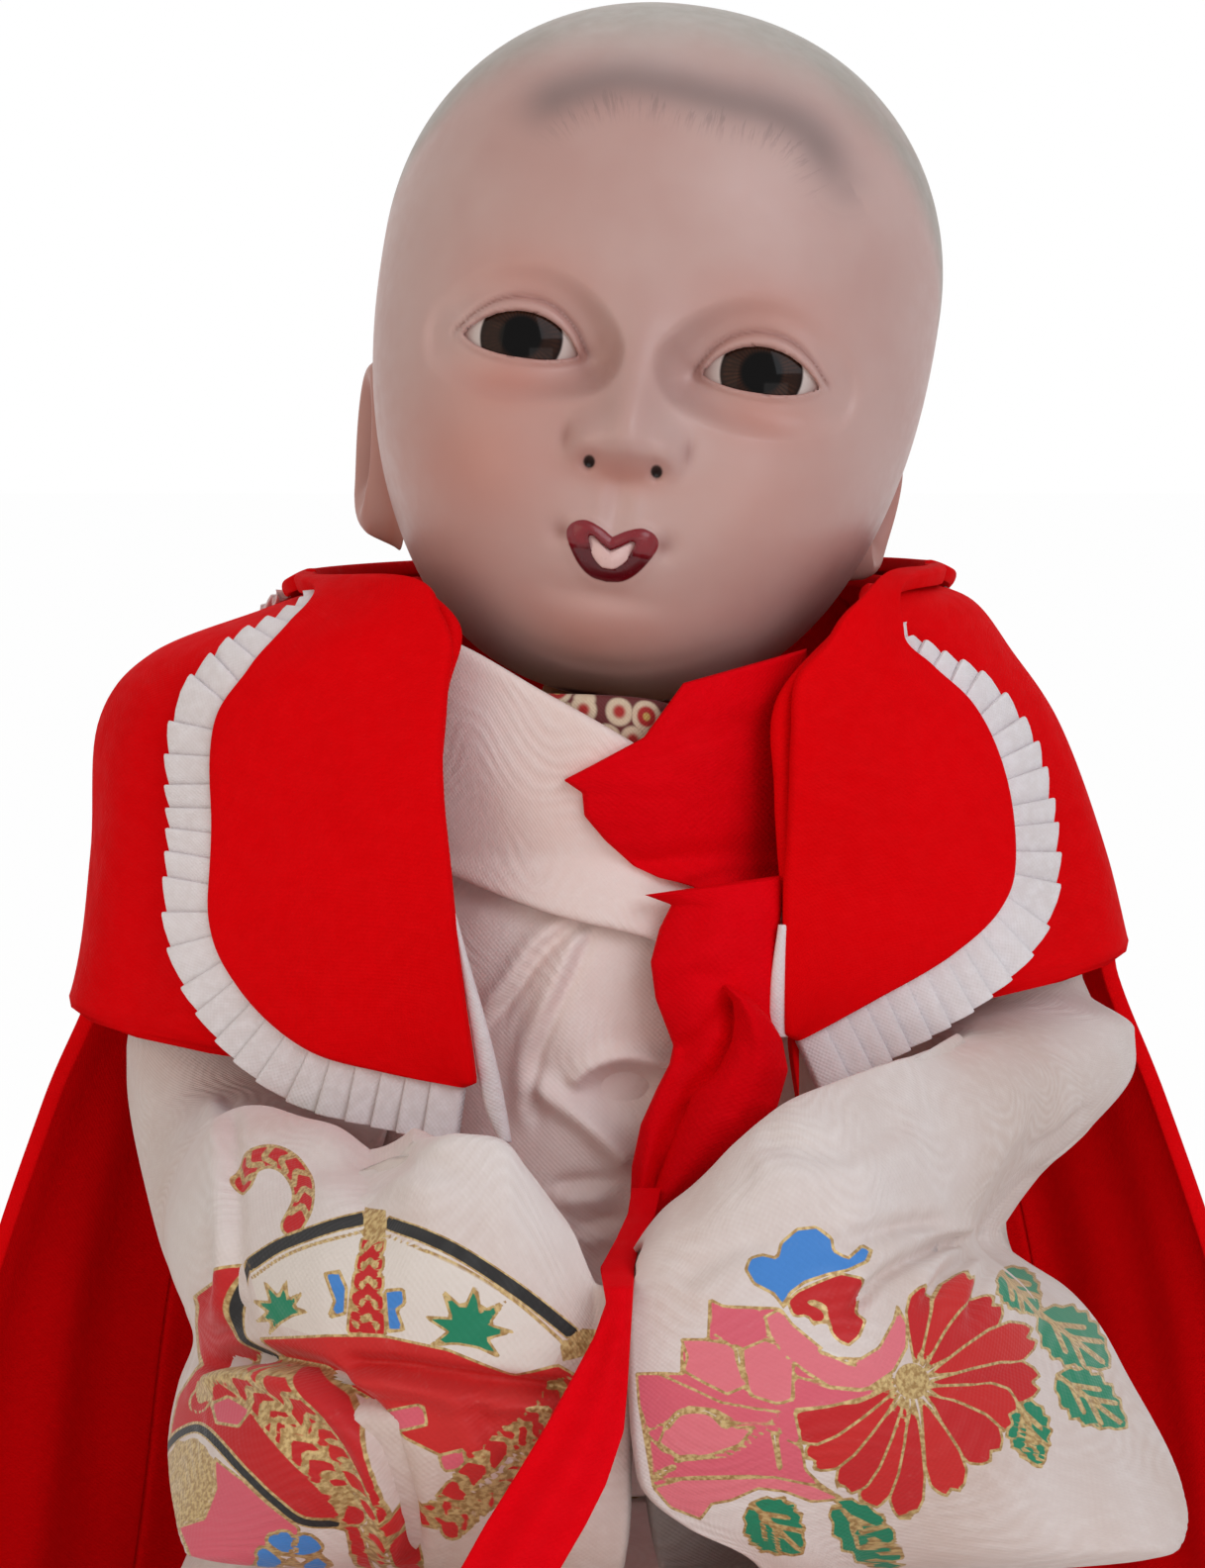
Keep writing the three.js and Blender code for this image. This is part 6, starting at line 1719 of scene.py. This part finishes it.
# Forearm and hand: the wrist flattens into a palm, with grooves between the fingers
def makeForearm(name):
    s, (x, y, z) = sideSign[name], armSet[name]
    path = [(s * (x - 5), y - 6, z - 3), (s * (x - 16), y - 42, z - 10), (s * (x - 33), y - 70, 131),
            (s * (x - 42), y - 79, 130),
            (s * (x - 52), y - 83, 129.5), (s * (x - 60), y - 83, 129)]
    p, t, a = limb(path, [(6, 6), (10, 11.5), (8.5, 9), (7, 8), (5.4, 8.8), (4.4, 7.6)], (150, 90), 0.05)
    tall = np.sin(a)
    groove = sum(bell(tall, k, 0.07) for k in (-0.5, 0.0, 0.5)) * ramp(t, 0.8, 0.9)
    crease = bell(t, 0.62, 0.01) + 0.6 * bell(t, 0.645, 0.01)
    thumb = 2.6 * bell(t, 0.8, 0.06) * bell(a, 1.25, 0.35)
    p = raised(p, hemmed(t, 0.05) * (thumb - 1.3 * groove - 0.5 * crease))
    obj = surface(name + "_forearm_hand", p, limbSkin)
    settle(obj, name + "_arm", [name + "_forearm"])


# Legs: stuffed thigh, cord at the knee, plump shin, and a foot with its toes up
legSet = {"spread": 36, "hip": (-52, 36), "knee": (-104.06, 50), "shin": (-110.06, 49.5), "ankle": (-176, 24),
          "foot": -190, "tie": 18.4}


def legLine(name, ends, start, end, depth, height):
    s = sideSign[name]
    x = [s * (legSet["spread"] + k) for k in ends]
    return [(x[k], mix(start[0], end[0], depth[k]), mix(start[1], end[1], height[k])) for k in range(4)]


def makeLeg(name):
    s = sideSign[name]
    path = legLine(name, (-8, -6, -4, -2), legSet["hip"], legSet["knee"], (0, 0.35, 0.69, 1), (0, 0.5, 0.86, 1))
    p, t, a = limb(path, [(17, 17), (22, 22), (20.5, 20.5), (13, 13)], (70, 70))
    p = raised(p, hemmed(t, 0.06) * (0.9 * np.sin(a * 15) * ramp(t, 0.72, 0.95) - 0.6))
    obj = surface(name + "_thigh_cloth", p, stuffedCotton)
    settle(obj, name + "_leg", [name + "_thigh"])
    makeTie(name + "_knee_tie", name + "_leg", path, legSet["tie"], 0.9, name + "_knee_tie")
    path = legLine(name, (-2, -1, 0, 1), legSet["shin"], legSet["ankle"], (0, 0.27, 0.6, 1), (0, 0.22, 0.57, 1))
    p, t, a = limb(path + [(s * 37.5, -188, 19)], [(13, 13), (19, 19), (17, 17), (12.4, 12.6), (9, 9)],
                   (110, 80))
    p = raised(p, hemmed(t, 0.06) * (-0.9 * bell(t, 0.72, 0.02) - 0.5 * bell(t, 0.1, 0.03)))
    obj = surface(name + "_shin", p, limbSkin)
    settle(obj, name + "_leg", [name + "_lower_leg"])
    path = [(s * 37.5, -187, 5.5), (s * 37.6, -190, 16), (s * 38, -189, 30), (s * 38.6, -190.5, 44),
            (s * 38.8, -192, 52.5)]
    p, t, a = limb(path, [(10, 9.5), (12, 11), (13.4, 9.5), (14.6, 8.2), (13.4, 6.6)], (120, 100), 0.08)
    wide = (p[..., 0] - s * 38.4) / 14.4
    toes = sum(bell(wide, k, 0.06) for k in (-0.55, -0.18, 0.18, 0.5)) * ramp(t, 0.78, 0.86)
    arch = 1.6 * bell(t, 0.5, 0.14) * (p[..., 1] < legSet["foot"]) * ramp(-s * wide, -0.2, 0.8)
    nail = 0.35 * bell(t, 0.93, 0.03) * (p[..., 1] > legSet["foot"])
    p = raised(p, -hemmed(t, 0.08) * (1.7 * toes + arch + nail))
    obj = surface(name + "_foot", p, limbSkin)
    settle(obj, name + "_leg")


for limbSide in ("left", "right"):
    makeUpperArm(limbSide)
    makeTie(limbSide + "_elbow_tie", limbSide + "_arm", armPath(limbSide), armSet["tie"], 0.9,
            limbSide + "_elbow_tie")
    makeForearm(limbSide)
    makeLeg(limbSide)


# Solids that stay as they are: turned neck and carved body
def dressNode(name, material):
    solid = bpy.data.objects[name]
    solid.data.materials.clear()
    solid.data.materials.append(material)


for woodName, woodFinish in (("neck_plug", turnedWood), ("neck_cup", turnedWood), ("torso_front", bodyWood),
                             ("torso_back", bodyWood)):
    dressNode(woodName, woodFinish)
print("limbs ready")


# Stage: pale floor, soft lamps and a white surround
stageSet = {"floor": colour(240, 238, 236), "world": 0.36, "key": 4.5, "fill": 2.3, "top": 1.9, "low": 1.2}


def seenRay(tree):  # 1 where the camera, a reflection or glass looks straight at the surround
    path = node(tree, "ShaderNodeLightPath")
    mirrored = math(tree, "MAXIMUM", path.outputs["Is Glossy Ray"], path.outputs["Is Transmission Ray"])
    return math(tree, "MAXIMUM", path.outputs["Is Camera Ray"], mirrored)


def makeStage():
    floorMesh = bpy.data.meshes.new("floor")
    floorMesh.from_pydata([(-20, -20, 0), (20, -20, 0), (20, 20, 0), (-20, 20, 0)], [], [(0, 1, 2, 3)])
    floor = bpy.data.objects.new("floor", floorMesh)
    bpy.context.collection.objects.link(floor)
    material, tree, shader = newMaterial("pale_floor", Roughness=0.9)
    shader.inputs["Base Color"].default_value = stageSet["floor"]
    glow = node(tree, "ShaderNodeEmission")
    both = node(tree, "ShaderNodeMixShader")
    tree.links.new(math(tree, "MULTIPLY", seenRay(tree), 0.985), both.inputs["Fac"])
    tree.links.new(shader.outputs[0], both.inputs[1])
    tree.links.new(glow.outputs[0], both.inputs[2])
    tree.links.new(both.outputs[0], tree.nodes["Material Output"].inputs["Surface"])
    floorMesh.materials.append(material)
    world = bpy.data.worlds.new("soft_room")
    bpy.context.scene.world = world
    world.use_nodes = True
    tree = world.node_tree
    back = tree.nodes["Background"]
    back.inputs["Color"].default_value = (1, 1, 1, 1)
    tree.links.new(math(tree, "MULTIPLY_ADD", seenRay(tree), 1 - stageSet["world"], stageSet["world"]),
                   back.inputs["Strength"])
    lamps = [("key", (0.62, -0.95, 0.85), 0.7, stageSet["key"], (0.95, 0.98, 1.06)),
             ("fill", (-0.85, -0.75, 0.45), 0.9, stageSet["fill"], (1.0, 0.84, 0.66)),
             ("top", (0.1, 0.3, 1.1), 0.8, stageSet["top"], (1.0, 1.0, 1.0)),
             ("low", (0.3, -0.95, 0.06), 0.5, stageSet["low"], (1.0, 0.93, 0.92))]
    for name, spot, size, power, tint in lamps:
        lamp = bpy.data.lights.new(name + "_lamp", "AREA")
        lamp.size, lamp.energy, lamp.color = size, power, tint
        obj = bpy.data.objects.new(name + "_lamp", lamp)
        obj.location = spot
        aim = np.array([0, -0.05, 0.22]) - np.array(spot)
        obj.rotation_euler = (np.arccos(-aim[2] / np.linalg.norm(aim)), 0,
                              np.arctan2(aim[1], aim[0]) - np.pi / 2)
        bpy.context.collection.objects.link(obj)


makeStage()
print("stage ready")
